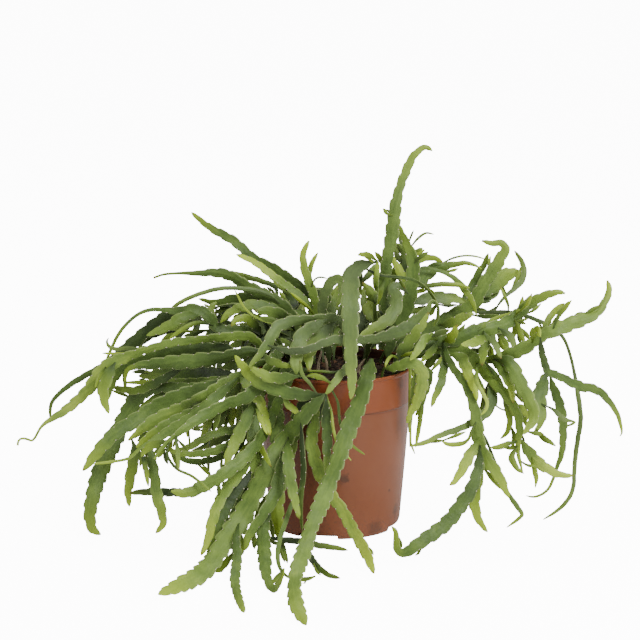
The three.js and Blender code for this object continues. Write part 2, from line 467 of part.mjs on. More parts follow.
        [116, 114, 120, 106, 121, 96, 119, 88, 113, 81, 105, 76, 95, 71, 86, 68, 78, 65, 70, 61,
          62, 59, 57, 58]],
      [[2, 3, 3, 2], [76, 82], [109, 122, 109, 108, 113, 100, 117, 92, 116, 86, 112, 82]],
      [[1.6, 1.6, 1.6], [46, 42], [120, 93, 124, 89, 128, 86.5, 133, 85]],
    ],
  },
  right_edge: {
    foot: [35, 39],
    stems: [
      [[3, 6, 7.5, 8, 6, 3], [48, 44, 40],
        [48, 118, 58, 122, 66, 117, 67, 108, 65, 98, 62, 90, 58, 83, 55.5, 76]],
      [[2, 4, 3.5, 3, 2, 1.6], [36, 30, 26],
        [63, 121, 61, 110, 60, 98, 59, 88, 58, 78, 57.5, 68, 58.5, 60, 61.5, 52]],
      [[2, 5.5, 6, 4, 3.4, 3, 2], [34, 28, 24],
        [65, 119, 72, 116, 71, 108, 69, 101, 67, 93, 66, 84, 65, 75, 63.5, 66, 62, 57]],
    ],
  },
};

// The far side is out of sight from the front. Its sprays stand side by side in sectors, each with its plan
// angle in degrees, how far out its foot is, and the furthest that it may reach. Each one follows the same
// plan, varied by draws of its own: the first stem climbs over the rim, and each other one leaves an earlier
// stem a share of the way along it, on its own heading, over its crest if it has one, to its reach and to the
// height of its tip.
const farSectors = [
  { angle: 156, foot: 38, most: 170 },
  { angle: 140, foot: 27, most: 165 },
  { angle: 124, foot: 37, most: 160 },
  { angle: 108, foot: 28, most: 150 },
  { angle: 91, foot: 35, most: 140 },
  { angle: 71, foot: 29, most: 124 },
  { angle: 51, foot: 36, most: 78 },
];
const farPlan = [
  { from: null, turn: 0, crest: 72, peak: 140, reach: 90, tip: 62, width: 8.4 },
  { from: [0, 0.12], turn: 4.5, crest: 84, peak: 165, reach: 146, tip: 92, width: 9 },
  { from: [0, 0.18], turn: -6, crest: 70, peak: 152, reach: 112, tip: 112, width: 7.4 },
  { from: [0, 0.24], turn: 6, crest: 76, peak: 147, reach: 106, tip: 40, width: 8 },
  { from: [1, 0.6], turn: -3, crest: null, peak: 0, reach: 132, tip: 66, width: 6.4 },
];
const farDraw = { perSpray: 7, perStem: 5, reach: 0.5, tip: 40, peak: 8, turn: 1.5, sway: 3, width: 0.3 };
const farLowest = 8;
const farFaceUp = 0.7;
const farRise = { out: 7, under: 6 };
const farNeck = 3;
const farTaper = 0.8;

// Points of a far stem beyond its crest: shares of the way out, of the way down, and of its sway
const farFall = [[0.62, 0.24, 0.4], [0.94, 0.64, 1], [1, 1, 0.8]];

// Dried ends of old stems, across and fore, how high they stand and how far they lean
const dryStubs = [
  [-13, 6, 15, 3],
  [-6, 10, 12, -2],
  [18, 8, 9, 5],
];
const dryFootRadius = 1.36;
const dryTipRadius = 0.85;
const drySides = 6;
const drySink = 0.1;

const potMaterial = new THREE.MeshStandardMaterial({ color: 0xa8623f, roughness: 0.45, metalness: 0 });
const soilMaterial = new THREE.MeshStandardMaterial({ color: 0x2b201c, roughness: 0.95, metalness: 0 });
const stemMaterial = new THREE.MeshStandardMaterial({ color: 0x6f8f3f, roughness: 0.55, metalness: 0 });
const dryMaterial = new THREE.MeshStandardMaterial({ color: 0x9b8b74, roughness: 0.9, metalness: 0 });

// A draw that is the same each time: the fractional parts of a golden ratio walk
const goldenStep = 0.61803398875;
const evenDraw = (index) => (index * goldenStep) % 1;

// Closed bodies
function solidOf(positions, triangles) {
  const mesh = new wasm.Mesh({
    numProp: 3,
    vertProperties: new Float32Array(positions),
    triVerts: new Uint32Array(triangles),
  });
  return new wasm.Manifold(mesh);
}

function solidFrom(geometry) {
  const bare = geometry.clone();
  bare.deleteAttribute('normal');
  bare.deleteAttribute('uv');
  const merged = mergeVertices(bare, 1e-4);
  return solidOf(merged.attributes.position.array, merged.index.array);
}

function geometryOf(solid) {
  const mesh = solid.getMesh();
  const geometry = new THREE.BufferGeometry();
  geometry.setAttribute('position', new THREE.BufferAttribute(new Float32Array(mesh.vertProperties), 3));
  geometry.setIndex(new THREE.BufferAttribute(new Uint32Array(mesh.triVerts), 1));
  geometry.computeVertexNormals();
  return geometry;
}

// A turned body: a lathe profile of radius and height pairs, from the axis to the axis
function turned(profile, segments) {
  const points = profile.map(([radius, height]) => new THREE.Vector2(radius, height));
  const lathe = new THREE.LatheGeometry(points, segments);
  lathe.rotateX(Math.PI / 2);
  return solidFrom(lathe);
}

// The sheet: a point across, up and nearer the eye, and back again
function sheetPoint(across, up) {
  const point = sheetMiddle.clone().addScaledVector(sheetUp, up - sheetUpAtMiddle);
  point.x = across;
  return point;
}

function placed(across, up, near) {
  const share = (sightDistance - near) / sightDistance;
  return eye.clone().lerp(sheetPoint(across, up), share);
}

function onSheet(point) {
  const fromMiddle = point.clone().sub(sheetMiddle);
  const near = fromMiddle.dot(towardsEye);
  const scale = sightDistance / (sightDistance - near);
  return [sheetMiddle.x + fromMiddle.x * scale, sheetUpAtMiddle + fromMiddle.dot(sheetUp) * scale, near];
}

function seenAt(across, up, fore) {
  const target = sheetPoint(across, up);
  const share = (-fore - eye.y) / (target.y - eye.y);
  return eye.clone().lerp(target, share);
}

// A value part of the way along a list that is spread evenly
function along(list, share) {
  const place = THREE.MathUtils.clamp(share, 0, 1) * (list.length - 1);
  const index = Math.min(Math.floor(place), list.length - 2);
  return THREE.MathUtils.lerp(list[index], list[index + 1], place - index);
}

function potRadiusAt(height) {
  if (height < bodyFootHeight) {
    return THREE.MathUtils.mapLinear(height, 0, bodyFootHeight, footRadius, bodyFootRadius);
  }
  if (height < collarFootHeight) {
    return THREE.MathUtils.mapLinear(height, bodyFootHeight, collarFootHeight, bodyFootRadius, bodyTopRadius);
  }
  return THREE.MathUtils.mapLinear(height, collarFootHeight, potHeight, collarFootRadius, rimRadius + lipBulge);
}

// Over the soil and the rim a stem is lifted clear
const soilClear = 124;
const rimClear = 131;
const rimInner = 54;
const rimOuter = 64;
const rimDepth = 6;
function liftedOverRim(point) {
  const radius = Math.hypot(point.x, point.y);
  if (radius < rimInner) point.z = Math.max(point.z, soilClear);
  if (radius >= rimInner && radius < rimOuter) point.z = Math.max(point.z, rimClear);
  return point;
}

// Points every few millimetres along a smooth curve through the given ones
const finePerSpan = 24;
const leastSteps = 3;
function evenly(points, lead, step) {
  const curve = new THREE.CatmullRomCurve3([lead, ...points], false, 'centripetal');
  const fine = [];
  const count = points.length * finePerSpan;
  for (let k = finePerSpan; k <= count; k += 1) fine.push(curve.getPoint(k / count));
  const lengths = [0];
  for (let k = 1; k < fine.length; k += 1) lengths.push(lengths[k - 1] + fine[k].distanceTo(fine[k - 1]));
  const total = lengths[lengths.length - 1];
  const steps = Math.max(leastSteps, Math.round(total / step));
  const even = [];
  let at = 0;
  for (let k = 0; k <= steps; k += 1) {
    const want = (total * k) / steps;
    while (at < fine.length - 2 && lengths[at + 1] < want) at += 1;
    const part = (want - lengths[at]) / (lengths[at + 1] - lengths[at]);
    even.push(fine[at].clone().lerp(fine[at + 1], part));
  }
  return even;
}

// A broad stem stays broad to its end, which is blunt.
function bluntly(widths) {
  const before = widths.at(-2);
  if (before < bluntWidth) return widths;
  return [...widths.slice(0, -1), Math.max(widths.at(-1), before * bluntShare)];
}

// One stem's stations: places on the sheet with their depth, and the width there
function stationsOf(points, lead, widths, outward) {
  const places = evenly(points, lead, sampleStep).map((point) => liftedOverRim(point));
  const total = (places.length - 1) * sampleStep;
  const blunt = bluntly(widths);
  return places.map((point, k) => {
    const [across, up, near] = onSheet(point);
    const share = k / (places.length - 1);
    const run = share * total;
    const neck = neckShare + (1 - neckShare) * THREE.MathUtils.smoothstep(run, 0, neckLength);
    const tip = tipShare + (1 - tipShare) * Math.sqrt(Math.min(1, (total - run) / tipLength));
    const width = Math.max(leastWidth, fullness * along(blunt, share) * Math.min(neck, tip));
    return { across, up, near, shift: 0, width, outward };
  });
}

function nearestStation(stems, across, up) {
  let best = null;
  for (const stem of stems) {
    stem.stations.forEach((station, k) => {
      const distance = Math.hypot(station.across - across, station.up - up);
      if (k > 0 && (!best || distance < best.distance)) best = { distance, stem, k };
    });
  }
  return best;
}

// The station a share of the way along a stem
function branchPoint(stem, share) {
  return { stem, k: Math.round(share * (stem.stations.length - 1)) };
}

function layDrawnSpray(name, spray) {
  const [footAcross, footFore] = spray.foot;
  const foot = new THREE.Vector3(footAcross, -footFore, stubTop);
  const stems = [];
  for (const [widths, fores, route] of spray.stems) {
    const parent = stems.length ? nearestStation(stems, route[0], route[1]) : null;
    const drawn = [];
    for (let k = 0; k < route.length; k += 2) drawn.push([route[k], route[k + 1]]);
    let start = foot;
    let startFore = footFore;
    if (parent) {
      const from = parent.stem.stations[parent.k];
      start = placed(from.across, from.up, from.near);
      startFore = -start.y;
      drawn.shift();
    }
    const runs = [0];
    let [lastAcross, lastUp] = onSheet(start);
    for (const [across, up] of drawn) {
      runs.push(runs[runs.length - 1] + Math.hypot(across - lastAcross, up - lastUp));
      lastAcross = across;
      lastUp = up;
    }
    const total = runs[runs.length - 1];
    const depths = [startFore, ...fores];
    const points = drawn.map(([across, up], k) => seenAt(across, up, along(depths, runs[k + 1] / total)));
    points.unshift(start);
    const lead = parent ? start.clone().multiplyScalar(2).sub(points[1]) : start.clone().setZ(leadHeight);
    const stations = stationsOf(points, lead, widths, null);
    stems.push({ name, parent, stations });
  }
  return { name, foot, stems };
}

function layFarSpray(sector, index) {
  const name = `spray_far_${index + 1}`;
  const hand = index % 2 === 0 ? 1 : -1;
  const draw = (k, salt) => evenDraw((index + 1) * farDraw.perSpray + k * farDraw.perStem + salt) - 0.5;
  const at = (degrees, radius, height) => {
    const heading = THREE.MathUtils.degToRad(sector.angle + degrees);
    return new THREE.Vector3(Math.cos(heading) * radius, Math.sin(heading) * radius, height);
  };
  const foot = at(0, sector.foot, stubTop);
  const stems = [];
  farPlan.forEach((plan, k) => {
    const turn = plan.turn * hand + draw(k, 0) * farDraw.turn;
    const sway = draw(k, 1) * farDraw.sway;
    const parent = plan.from && branchPoint(stems[plan.from[0]], plan.from[1]);
    const from = parent ? parent.stem.stations[parent.k] : null;
    const start = from ? placed(from.across, from.up, from.near) : foot;
    const points = [start];
    const crest = plan.crest ?? Math.hypot(start.x, start.y);
    const peak = plan.crest ? plan.peak + draw(k, 2) * farDraw.peak : start.z;
    const reach = Math.min(sector.most, crest + (plan.reach - crest) * (1 + draw(k, 3) * farDraw.reach));
    const tip = Math.max(farLowest, plan.tip + draw(k, 4) * farDraw.tip);
    if (!parent) points.push(at(turn, sector.foot + farRise.out, peak - farRise.under));
    if (plan.crest) points.push(at(turn, crest, peak));
    for (const [out, down, swayed] of farFall) {
      const radius = THREE.MathUtils.lerp(crest, reach, out);
      const height = THREE.MathUtils.lerp(peak, tip, down);
      points.push(at(turn + sway * swayed, radius, height));
    }
    const lead = parent ? start.clone().multiplyScalar(2).sub(points[1]) : start.clone().setZ(leadHeight);
    const width = plan.width * (1 + draw(k, 5) * farDraw.width);
    const outward = at(turn, 1, farFaceUp).normalize();
    const widths = [farNeck, width, width, width, width * farTaper, farNeck];
    stems.push({ name, parent, stations: stationsOf(points, lead, widths, outward) });
  });
  return { name, foot, stems };
}

// The frame of each station: along the stem, out of its face, and across its width
const faceTurn = THREE.MathUtils.degToRad(24);
const faceSmoothing = 6;
function frameStem(stem, salt) {
  const places = stem.stations.map((s) => placed(s.across, s.up, s.near + s.shift));
  const last = places.length - 1;
  const tangents = places.map((_, k) => {
    const ahead = places[Math.min(k + 1, last)];
    return ahead.clone().sub(places[Math.max(k - 1, 0)]).normalize();
  });
  const lean = (evenDraw(salt) - 0.5) * 2 * faceTurn;
  let faces = stem.stations.map((s, k) => {
    const wanted = s.outward ? s.outward.clone() : eye.clone().sub(places[k]).normalize();
    return wanted.addScaledVector(tangents[k], -wanted.dot(tangents[k]));
  });
  for (let round = 0; round < faceSmoothing; round += 1) {
    faces = faces.map((f, k) => f.clone().add(faces[Math.max(k - 1, 0)]).add(faces[Math.min(k + 1, last)]));
    faces = faces.map((f, k) => f.addScaledVector(tangents[k], -f.dot(tangents[k])).multiplyScalar(1 / 3));
  }
  stem.stations.forEach((s, k) => {
    s.place = places[k];
    s.face = faces[k].normalize().applyAxisAngle(tangents[k], lean);
    s.aside = tangents[k].clone().cross(s.face);
    s.along = tangents[k];
  });
}

// Stems that pass in front of each other are eased apart along the line of sight, so that the drawing stays
// as it is. Samples lie across each station, and a pair of samples that share a spot on the sheet keeps the
// order of its two stems there.
const spotRadius = 4.3;
const reachDepth = 46;
const acrossSamples = [-0.5, -0.17, 0.17, 0.5];
const jointClear = 16;
const rootedLength = 6;
const freeAfter = 44;
const leastSlope = 0.45;
const breakAfter = 4;
const stemKey = 10000;
const moveShare = 0.7;
const smoothShare = 0.25;
const smoothPasses = 3;
const lastRounds = 30;

function gatherSamples(stems) {
  const samples = [];
  stems.forEach((stem, s) => {
    stem.stations.forEach((station, k) => {
      station.slot = samples.length;
      for (const part of acrossSamples) {
        const point = station.place.clone().addScaledVector(station.aside, part * station.width);
        const [across, up, near] = onSheet(point);
        samples.push({ stem: s, k, across, up, near });
      }
    });
  });
  return samples;
}

function nearJoint(a, ka, b, kb) {
  const joined = (child, kChild, parent, kParent) => child.parent && child.parent.stem === parent
    && (kChild * sampleStep < jointClear || Math.abs(kParent - child.parent.k) * sampleStep < jointClear);
  const siblings = a.parent && b.parent && a.parent.stem === b.parent.stem
    && Math.abs(a.parent.k - b.parent.k) * sampleStep < jointClear
    && (ka * sampleStep < jointClear || kb * sampleStep < jointClear);
  return joined(a, ka, b, kb) || joined(b, kb, a, ka) || siblings;
}

function crossingsOf(stems, samples) {
  const cells = new Map();
  samples.forEach((sample, index) => {
    const key = `${Math.floor(sample.across / spotRadius)},${Math.floor(sample.up / spotRadius)}`;
    if (!cells.has(key)) cells.set(key, []);
    cells.get(key).push(index);
  });
  const groups = new Map();
  samples.forEach((one, i) => {
    const column = Math.floor(one.across / spotRadius);
    const row = Math.floor(one.up / spotRadius);
    for (let dx = -1; dx <= 1; dx += 1) {
      for (let dy = -1; dy <= 1; dy += 1) {
        for (const j of cells.get(`${column + dx},${row + dy}`) ?? []) {
          const two = samples[j];
          if (two.stem <= one.stem) continue;
          if (Math.hypot(one.across - two.across, one.up - two.up) > spotRadius) continue;
          if (Math.abs(one.near - two.near) > reachDepth) continue;
          const a = stems[one.stem];
          const b = stems[two.stem];
          if (a.name === b.name && nearJoint(a, one.k, b, two.k)) continue;
          const key = one.stem * stemKey + two.stem;
          if (!groups.has(key)) groups.set(key, []);
          groups.get(key).push({ i, j, ka: one.k });
        }
      }
    }
  });
  const crossings = [];
  for (const pairs of groups.values()) {
    pairs.sort((p, q) => p.ka - q.ka);
    let from = 0;
    for (let k = 1; k <= pairs.length; k += 1) {
      if (k < pairs.length && pairs[k].ka - pairs[k - 1].ka <= breakAfter) continue;
      const run = pairs.slice(from, k);
      const lead = run.reduce((sum, p) => sum + samples[p.i].near - samples[p.j].near, 0);
      const sign = lead >= 0 ? 1 : -1;
      for (const p of run) crossings.push({ i: p.i, j: p.j, sign });
      from = k;
    }
  }
  return crossings;
}

// The depth that keeps a sample off the ground, and on its own side of the pot
const potReach = 72;
const searchDepth = 150;
const searchStep = 1.5;
function depthLimits(sample) {
  const target = sheetPoint(sample.across, sample.up);
  const fall = eye.z - target.z;
  const least = sightDistance * (1 - (eye.z - groundGap - stemThickness / 2) / fall);
  const limits = { least, most: Infinity };
  if (Math.abs(sample.across) > potReach || sample.up > sheetUpAtMiddle) return limits;
  let first = null;
  let lastIn = null;
  for (let near = searchDepth; near > -searchDepth; near -= searchStep) {
    const point = placed(sample.across, sample.up, near);
    if (point.z > potHeight + potGap || point.z < 0) continue;
    if (Math.hypot(point.x, point.y) > potRadiusAt(point.z) + potGap) continue;
    if (first === null) first = near;
    lastIn = near;
  }
  if (first === null) return limits;
  if (sample.near > (first + lastIn) / 2) limits.least = Math.max(least, first);
  else limits.most = lastIn;
  return limits;
}

// A stem that crosses the rim after it has been eased is lifted again, with a slope to either side. A branch
// first follows the station that it starts from.
const rimRamp = 0.55;
const rimReach = 12;
const followLength = 24;
function liftStem(stem) {
  if (stem.parent) {
    const joint = stem.parent.stem.stations[stem.parent.k].place;
    const offset = joint.clone().sub(stem.stations[0].place);
    stem.stations.forEach((s, k) => {
      s.place.addScaledVector(offset, Math.max(0, 1 - (k * sampleStep) / followLength));
      const [across, up, near] = onSheet(s.place);
      Object.assign(s, { across, up, near, shift: 0 });
    });
  }
  const lacks = stem.stations.map((s) => {
    let lack = 0;
    for (const part of acrossSamples) {
      const point = s.place.clone().addScaledVector(s.aside, part * s.width);
      const radius = Math.hypot(point.x, point.y);
      const overRim = radius > rimInner && radius < rimOuter && point.z > potHeight - rimReach;
      if (overRim) lack = Math.max(lack, rimClear - point.z);
      else if (radius <= rimInner) lack = Math.max(lack, soilClear - point.z);
    }
    return lack;
  });
  if (Math.max(...lacks) <= 0) return;
  const rooted = stem.parent ? 0 : 1;
  const slopeAt = (k) => Math.max(0, ...lacks.map((lack, j) => lack - rimRamp * Math.abs(j - k)));
  const slopes = lacks.map((_, k) => slopeAt(k));
  stem.stations.forEach((s, k) => {
    if (k < rooted) return;
    s.place.z += slopes[k];
    const [across, up, near] = onSheet(s.place);
    Object.assign(s, { across, up, near, shift: 0 });
  });
}

function settle(stems) {
  stems.forEach((stem, index) => frameStem(stem, index));
  const samples = gatherSamples(stems);
  const crossings = crossingsOf(stems, samples);
  const stations = [];
  stems.forEach((stem) => stem.stations.forEach((station, k) => {
    station.index = stations.length;
    const slope = Math.abs(station.face.dot(towardsEye));
    station.free = stem.parent ? 1 : THREE.MathUtils.clamp((k * sampleStep - rootedLength) / freeAfter, 0, 1);
    station.need = (layerGap / 2) / Math.max(slope, leastSlope);
    station.least = -Infinity;
    station.most = Infinity;
    stations.push(station);
  }));
  for (const sample of samples) {
    const station = stems[sample.stem].stations[sample.k];
    sample.station = station.index;
    const radius = Math.hypot(station.place.x, station.place.y);
    if (radius < rimOuter && station.place.z > potHeight - rimDepth) continue;
    const { least, most } = depthLimits(sample);
    station.least = Math.max(station.least, least - sample.near);
    station.most = Math.min(station.most, most - sample.near);
  }
  const count = stations.length;
  const shift = new Float64Array(count);
  const push = new Float64Array(count);
  const hits = new Float64Array(count);
  for (let round = 0; round < settleRounds; round += 1) {
    push.fill(0);
    hits.fill(0);
    for (const { i, j, sign } of crossings) {
      const a = samples[i];
      const b = samples[j];
      const sa = stations[a.station];
      const sb = stations[b.station];
      const apart = sign * (a.near + shift[a.station] - b.near - shift[b.station]);
      const lack = sa.need + sb.need - apart;
      const give = sa.free + sb.free;
      if (lack <= 0 || give === 0) continue;
      const move = (sign * lack) / give;
      push[a.station] += move * sa.free * lack;
      hits[a.station] += lack;
      push[b.station] -= move * sb.free * lack;
      hits[b.station] += lack;
    }
    for (let k = 0; k < count; k += 1) if (hits[k] > 0) shift[k] += (moveShare * push[k]) / hits[k];
    const passes = round < settleRounds - lastRounds ? smoothPasses : 1;
    for (const stem of stems) {
      const first = stem.stations[0].index;
      const size = stem.stations.length;
      for (let pass = 0; pass < passes; pass += 1) {
        shift[first] = stem.parent ? shift[stem.parent.stem.stations[stem.parent.k].index] : 0;
        let before = shift[first];
        for (let k = 1; k < size; k += 1) {
          const here = shift[first + k];
          const after = k < size - 1 ? shift[first + k + 1] : here;
          shift[first + k] = here + smoothShare * (before + after - 2 * here);
          before = here;
        }
      }
      stem.stations.forEach((s) => {
        if (s.free <= 0.5) return;
        if (shift[s.index] > s.most) shift[s.index] = s.most;
        if (shift[s.index] < s.least) shift[s.index] = s.least;
      });
    }
  }
  stations.forEach((station, k) => {
    station.shift = shift[k];
  });
  stems.forEach((stem, index) => frameStem(stem, index));
  stems.forEach((stem) => liftStem(stem));
  stems.forEach((stem, index) => frameStem(stem, index));
}

// A stem as a closed ribbon: flat behind, a midrib in front, and teeth on alternate sides
function ribbon(stem) {
  const positions = [];
  const triangles = [];
  const last = stem.stations.length - 1;
  const chosen = [0];
  for (let k = 1; k <= last; k += 1) {
    const previous = stem.stations[chosen[chosen.length - 1]];
    const station = stem.stations[k];
    const step = station.width > slimWidth ? ringStep : slimRingStep;
    const run = (k - chosen[chosen.length - 1]) * sampleStep;
    const turned = station.aside.dot(previous.aside) < straightEnough
      || station.place.clone().sub(previous.place).normalize().dot(previous.along) < straightEnough;
    if (k === last || run >= step || (turned && run > sampleStep)) chosen.push(k);
  }
  if (chosen.length > 2 && last - chosen[chosen.length - 2] < 2) chosen.splice(chosen.length - 2, 1);
  const rings = chosen.map((k, n) => {
    const s = stem.stations[k];
    const slim = s.width <= slimWidth;
    const tooth = slim || n === 0 ? 0 : toothDepth;
    const left = (n % 2 === 0 ? 1 + tooth : 1 - tooth) * s.width * 0.5;
    const right = (n % 2 === 0 ? 1 - tooth : 1 + tooth) * s.width * 0.5;
    const fleshy = THREE.MathUtils.clamp((s.width - slimWidth) / (fullWidth - slimWidth), 0, 1);
    const thick = THREE.MathUtils.lerp(slimThickness, stemThickness, fleshy);
    return { place: s.place, face: s.face, aside: s.aside, left, right, thick };
  });
  if (!stem.parent) {
    const foot = rings[0];
    foot.left = stubWidth / 2;
    foot.right = stubWidth / 2;
    rings.unshift({ ...foot, place: foot.place.clone().setZ(stubFoot) });
    for (const ring of rings.slice(0, 2)) {
      ring.face = ring.face.clone().setZ(0).normalize();
      ring.aside = new THREE.Vector3(0, 0, 1).cross(ring.face);
      ring.thick = stubThickness;
    }
  }
  for (const ring of rings) {
    const back = ring.place.clone().addScaledVector(ring.face, -backShare * ring.thick);
    const corners = [
      back.clone().addScaledVector(ring.aside, ring.left),
      back.clone().addScaledVector(ring.aside, -ring.right),
      ring.place.clone().addScaledVector(ring.face, (1 - backShare) * ring.thick),
    ];
    for (const corner of corners) positions.push(corner.x, corner.y, corner.z);
  }
  const ringCount = rings.length;
  for (let n = 0; n < ringCount - 1; n += 1) {
    for (let c = 0; c < 3; c += 1) {
      const a = n * 3 + c;
      const b = n * 3 + ((c + 1) % 3);
      triangles.push(a, b, b + 3, a, b + 3, a + 3);
    }
  }
  const end = (ringCount - 1) * 3;
  triangles.push(0, 2, 1, end, end + 1, end + 2);
  return solidOf(positions, triangles);
}

function fusedSpray(spray) {
  const ribbons = spray.stems.map((stem) => ribbon(stem));
  return wasm.Manifold.union(ribbons);
}

// The pot: a turned shell, with a block over each drain recess and the recess cut under it
function potSolid() {
  const outside = [
    [0, 0], [footRadius, 0],
    [bodyFootRadius - footBevelInset, footBevelHeight], [bodyFootRadius, bodyFootHeight],
    [bodyTopRadius, collarFootHeight - collarStep], [collarFootRadius, collarFootHeight],
    [rimRadius - lipInset, potHeight - lipDepth], [rimRadius + lipBulge, potHeight - lipDepth * lipCrest],
    [rimRadius + lipBulge * lipTop, potHeight], [0, potHeight],
  ];
  const inside = [
    [0, floorThickness], [bodyFootRadius - wallThickness - collarStep, floorThickness],
    [bodyFootRadius - wallThickness, bodyFootHeight], [bodyTopRadius - wallThickness, collarFootHeight],
    [rimRadius - wallThickness, potHeight], [rimRadius - wallThickness, potHeight + cutMargin],
    [0, potHeight + cutMargin],
  ];
  let pot = turned(outside, potSegments).subtract(turned(inside, potSegments));
  const shell = turned(outside, potSegments);
  for (let k = 0; k < recessCount; k += 1) {
    const turn = THREE.MathUtils.degToRad(recessTurn + (360 / recessCount) * k);
    const block = (width, height, depth, base) => {
      const box = new THREE.BoxGeometry(depth * 2, width, height);
      box.translate(footRadius, 0, base + height / 2);
      box.rotateZ(turn);
      return solidFrom(box);
    };
    const wall = wallThickness;
    const cover = block(recessWidth + wall * 2, recessHeight + wall, recessDepth + wall, 0);
    const hollow = block(recessWidth, recessHeight + cutMargin, recessDepth, -cutMargin);
    const drain = new THREE.CylinderGeometry(drainRadius, drainRadius, drainLength, drainSides);
    drain.rotateX(Math.PI / 2);
    drain.translate(footRadius - recessDepth / 2, 0, recessHeight);
    drain.rotateZ(turn);
    pot = pot.add(cover.intersect(shell)).subtract(hollow).subtract(solidFrom(drain));
  }
  return pot;
}

// The soil fills the pot, less a hair's gap, up to a lumpy mound with a hole for each foot
function soilSolid(feet) {
  const gap = soilGap;
  const edge = rimRadius - wallThickness - soilEdgeGap;
  const levels = [
    [edge - soilShoulderInset, soilHeight - soilShoulderDrop],
    [bodyTopRadius - wallThickness - gap * 2, collarFootHeight],
    [bodyFootRadius - wallThickness - gap * 2, bodyFootHeight + soilFootRise],
    [bodyFootRadius - wallThickness - soilFootInset, floorThickness + gap],
  ];
  const positions = [0, 0, soilHeight + soilMound];
  const addRing = (radius, heightOf, odd) => {
    for (let spoke = 0; spoke < soilSpokes; spoke += 1) {
      const turn = ((spoke + odd * 0.5) / soilSpokes) * Math.PI * 2;
      positions.push(Math.cos(turn) * radius, Math.sin(turn) * radius, heightOf(spoke));
    }
  };
  for (let ring = 1; ring <= soilRings; ring += 1) {
    const share = ring / soilRings;
    const mound = soilMound * (1 - share * share);
    addRing(edge * share, (spoke) => {
      const lump = (evenDraw(ring * soilSpokes + spoke) - 0.5) * 2 * soilLump;
      return soilHeight + mound + lump;
    }, ring % 2);
  }
  levels.forEach(([radius, height], k) => addRing(radius, () => height, (soilRings + 1 + k) % 2));
  const ringCount = soilRings + levels.length;
  positions.push(0, 0, floorThickness + gap);
  const under = positions.length / 3 - 1;
  const triangles = [];
  for (let spoke = 0; spoke < soilSpokes; spoke += 1) {
    const next = (spoke + 1) % soilSpokes;
    triangles.push(0, 1 + spoke, 1 + next);
    for (let ring = 1; ring < ringCount; ring += 1) {
      const a = 1 + (ring - 1) * soilSpokes;
      const b = a + soilSpokes;
      if (ring % 2 === 1) triangles.push(a + spoke, b + spoke, b + next, a + spoke, b + next, a + next);
      else triangles.push(a + spoke, b + spoke, a + next, a + next, b + spoke, b + next);
    }
    const last = 1 + (ringCount - 1) * soilSpokes;
    triangles.push(under, last + next, last + spoke);
  }
  let soil = solidOf(positions, triangles);
  for (let k = 0; k < recessCount; k += 1) {
    const turn = THREE.MathUtils.degToRad(recessTurn + (360 / recessCount) * k);
    const depth = (recessDepth + wallThickness + gap) * 2;
    const height = recessHeight + wallThickness + gap;
    const box = new THREE.BoxGeometry(depth, recessWidth + (wallThickness + gap) * 2, height * 2);
    box.translate(footRadius, 0, 0);
    box.rotateZ(turn);
    soil = soil.subtract(solidFrom(box));
  }
  for (const foot of feet) {
    const hole = new THREE.CylinderGeometry(holeRadius, holeRadius, holeLength, holeSides);
    hole.rotateX(Math.PI / 2);
    hole.translate(foot.x, foot.y, holeFloor + holeLength / 2);
    soil = soil.subtract(solidFrom(hole));
  }
  return soil;
}

function dryStub([across, fore, height, lean]) {
  const stub = new THREE.CylinderGeometry(dryTipRadius, dryFootRadius, height, drySides, 2);
  stub.rotateX(Math.PI / 2);
  const position = stub.attributes.position;
  for (let k = 0; k < position.count; k += 1) {
    const rise = (position.getZ(k) + height / 2) / height;
    position.setX(k, position.getX(k) + lean * rise * rise);
  }
  stub.translate(across, -fore, stubTop - drySink + height / 2);
  const peg = new THREE.CylinderGeometry(dryFootRadius, dryFootRadius, stubTop - stubFoot, drySides);
  peg.rotateX(Math.PI / 2);
  peg.translate(across, -fore, (stubTop + stubFoot) / 2);
  return solidFrom(stub).add(solidFrom(peg));
}

const drawn = Object.entries(sprays).map(([name, spray]) => layDrawnSpray(`spray_${name}`, spray));
const far = farSectors.map((sector, index) => layFarSpray(sector, index));
const plant = [...drawn, ...far];
settle(plant.flatMap((spray) => spray.stems));

const group = new THREE.Group();
function addNode(name, solid, material) {
  const mesh = new THREE.Mesh(geometryOf(solid), material);
  mesh.name = name;
  group.add(mesh);
}

const stubFeet = dryStubs.map(([across, fore]) => new THREE.Vector3(across, -fore, 0));
const feet = [...plant.map((spray) => spray.foot), ...stubFeet];
addNode('pot', potSolid(), potMaterial);
addNode('soil', soilSolid(feet), soilMaterial);
for (const spray of plant) addNode(spray.name, fusedSpray(spray), stemMaterial);
dryStubs.forEach((stub, index) => addNode(`dry_stub_${index + 1}`, dryStub(stub), dryMaterial));

export default group;
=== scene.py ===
# A potted Lepismium bolivianum: flat trailing cactus stems over the rim of a terracotta-coloured nursery pot.
# The frame holds the real sizes. Each piece here is worked out in millimetres and built around it in metres.
import json
import math

import bpy
import numpy as np
from mathutils import Matrix, Vector, noise

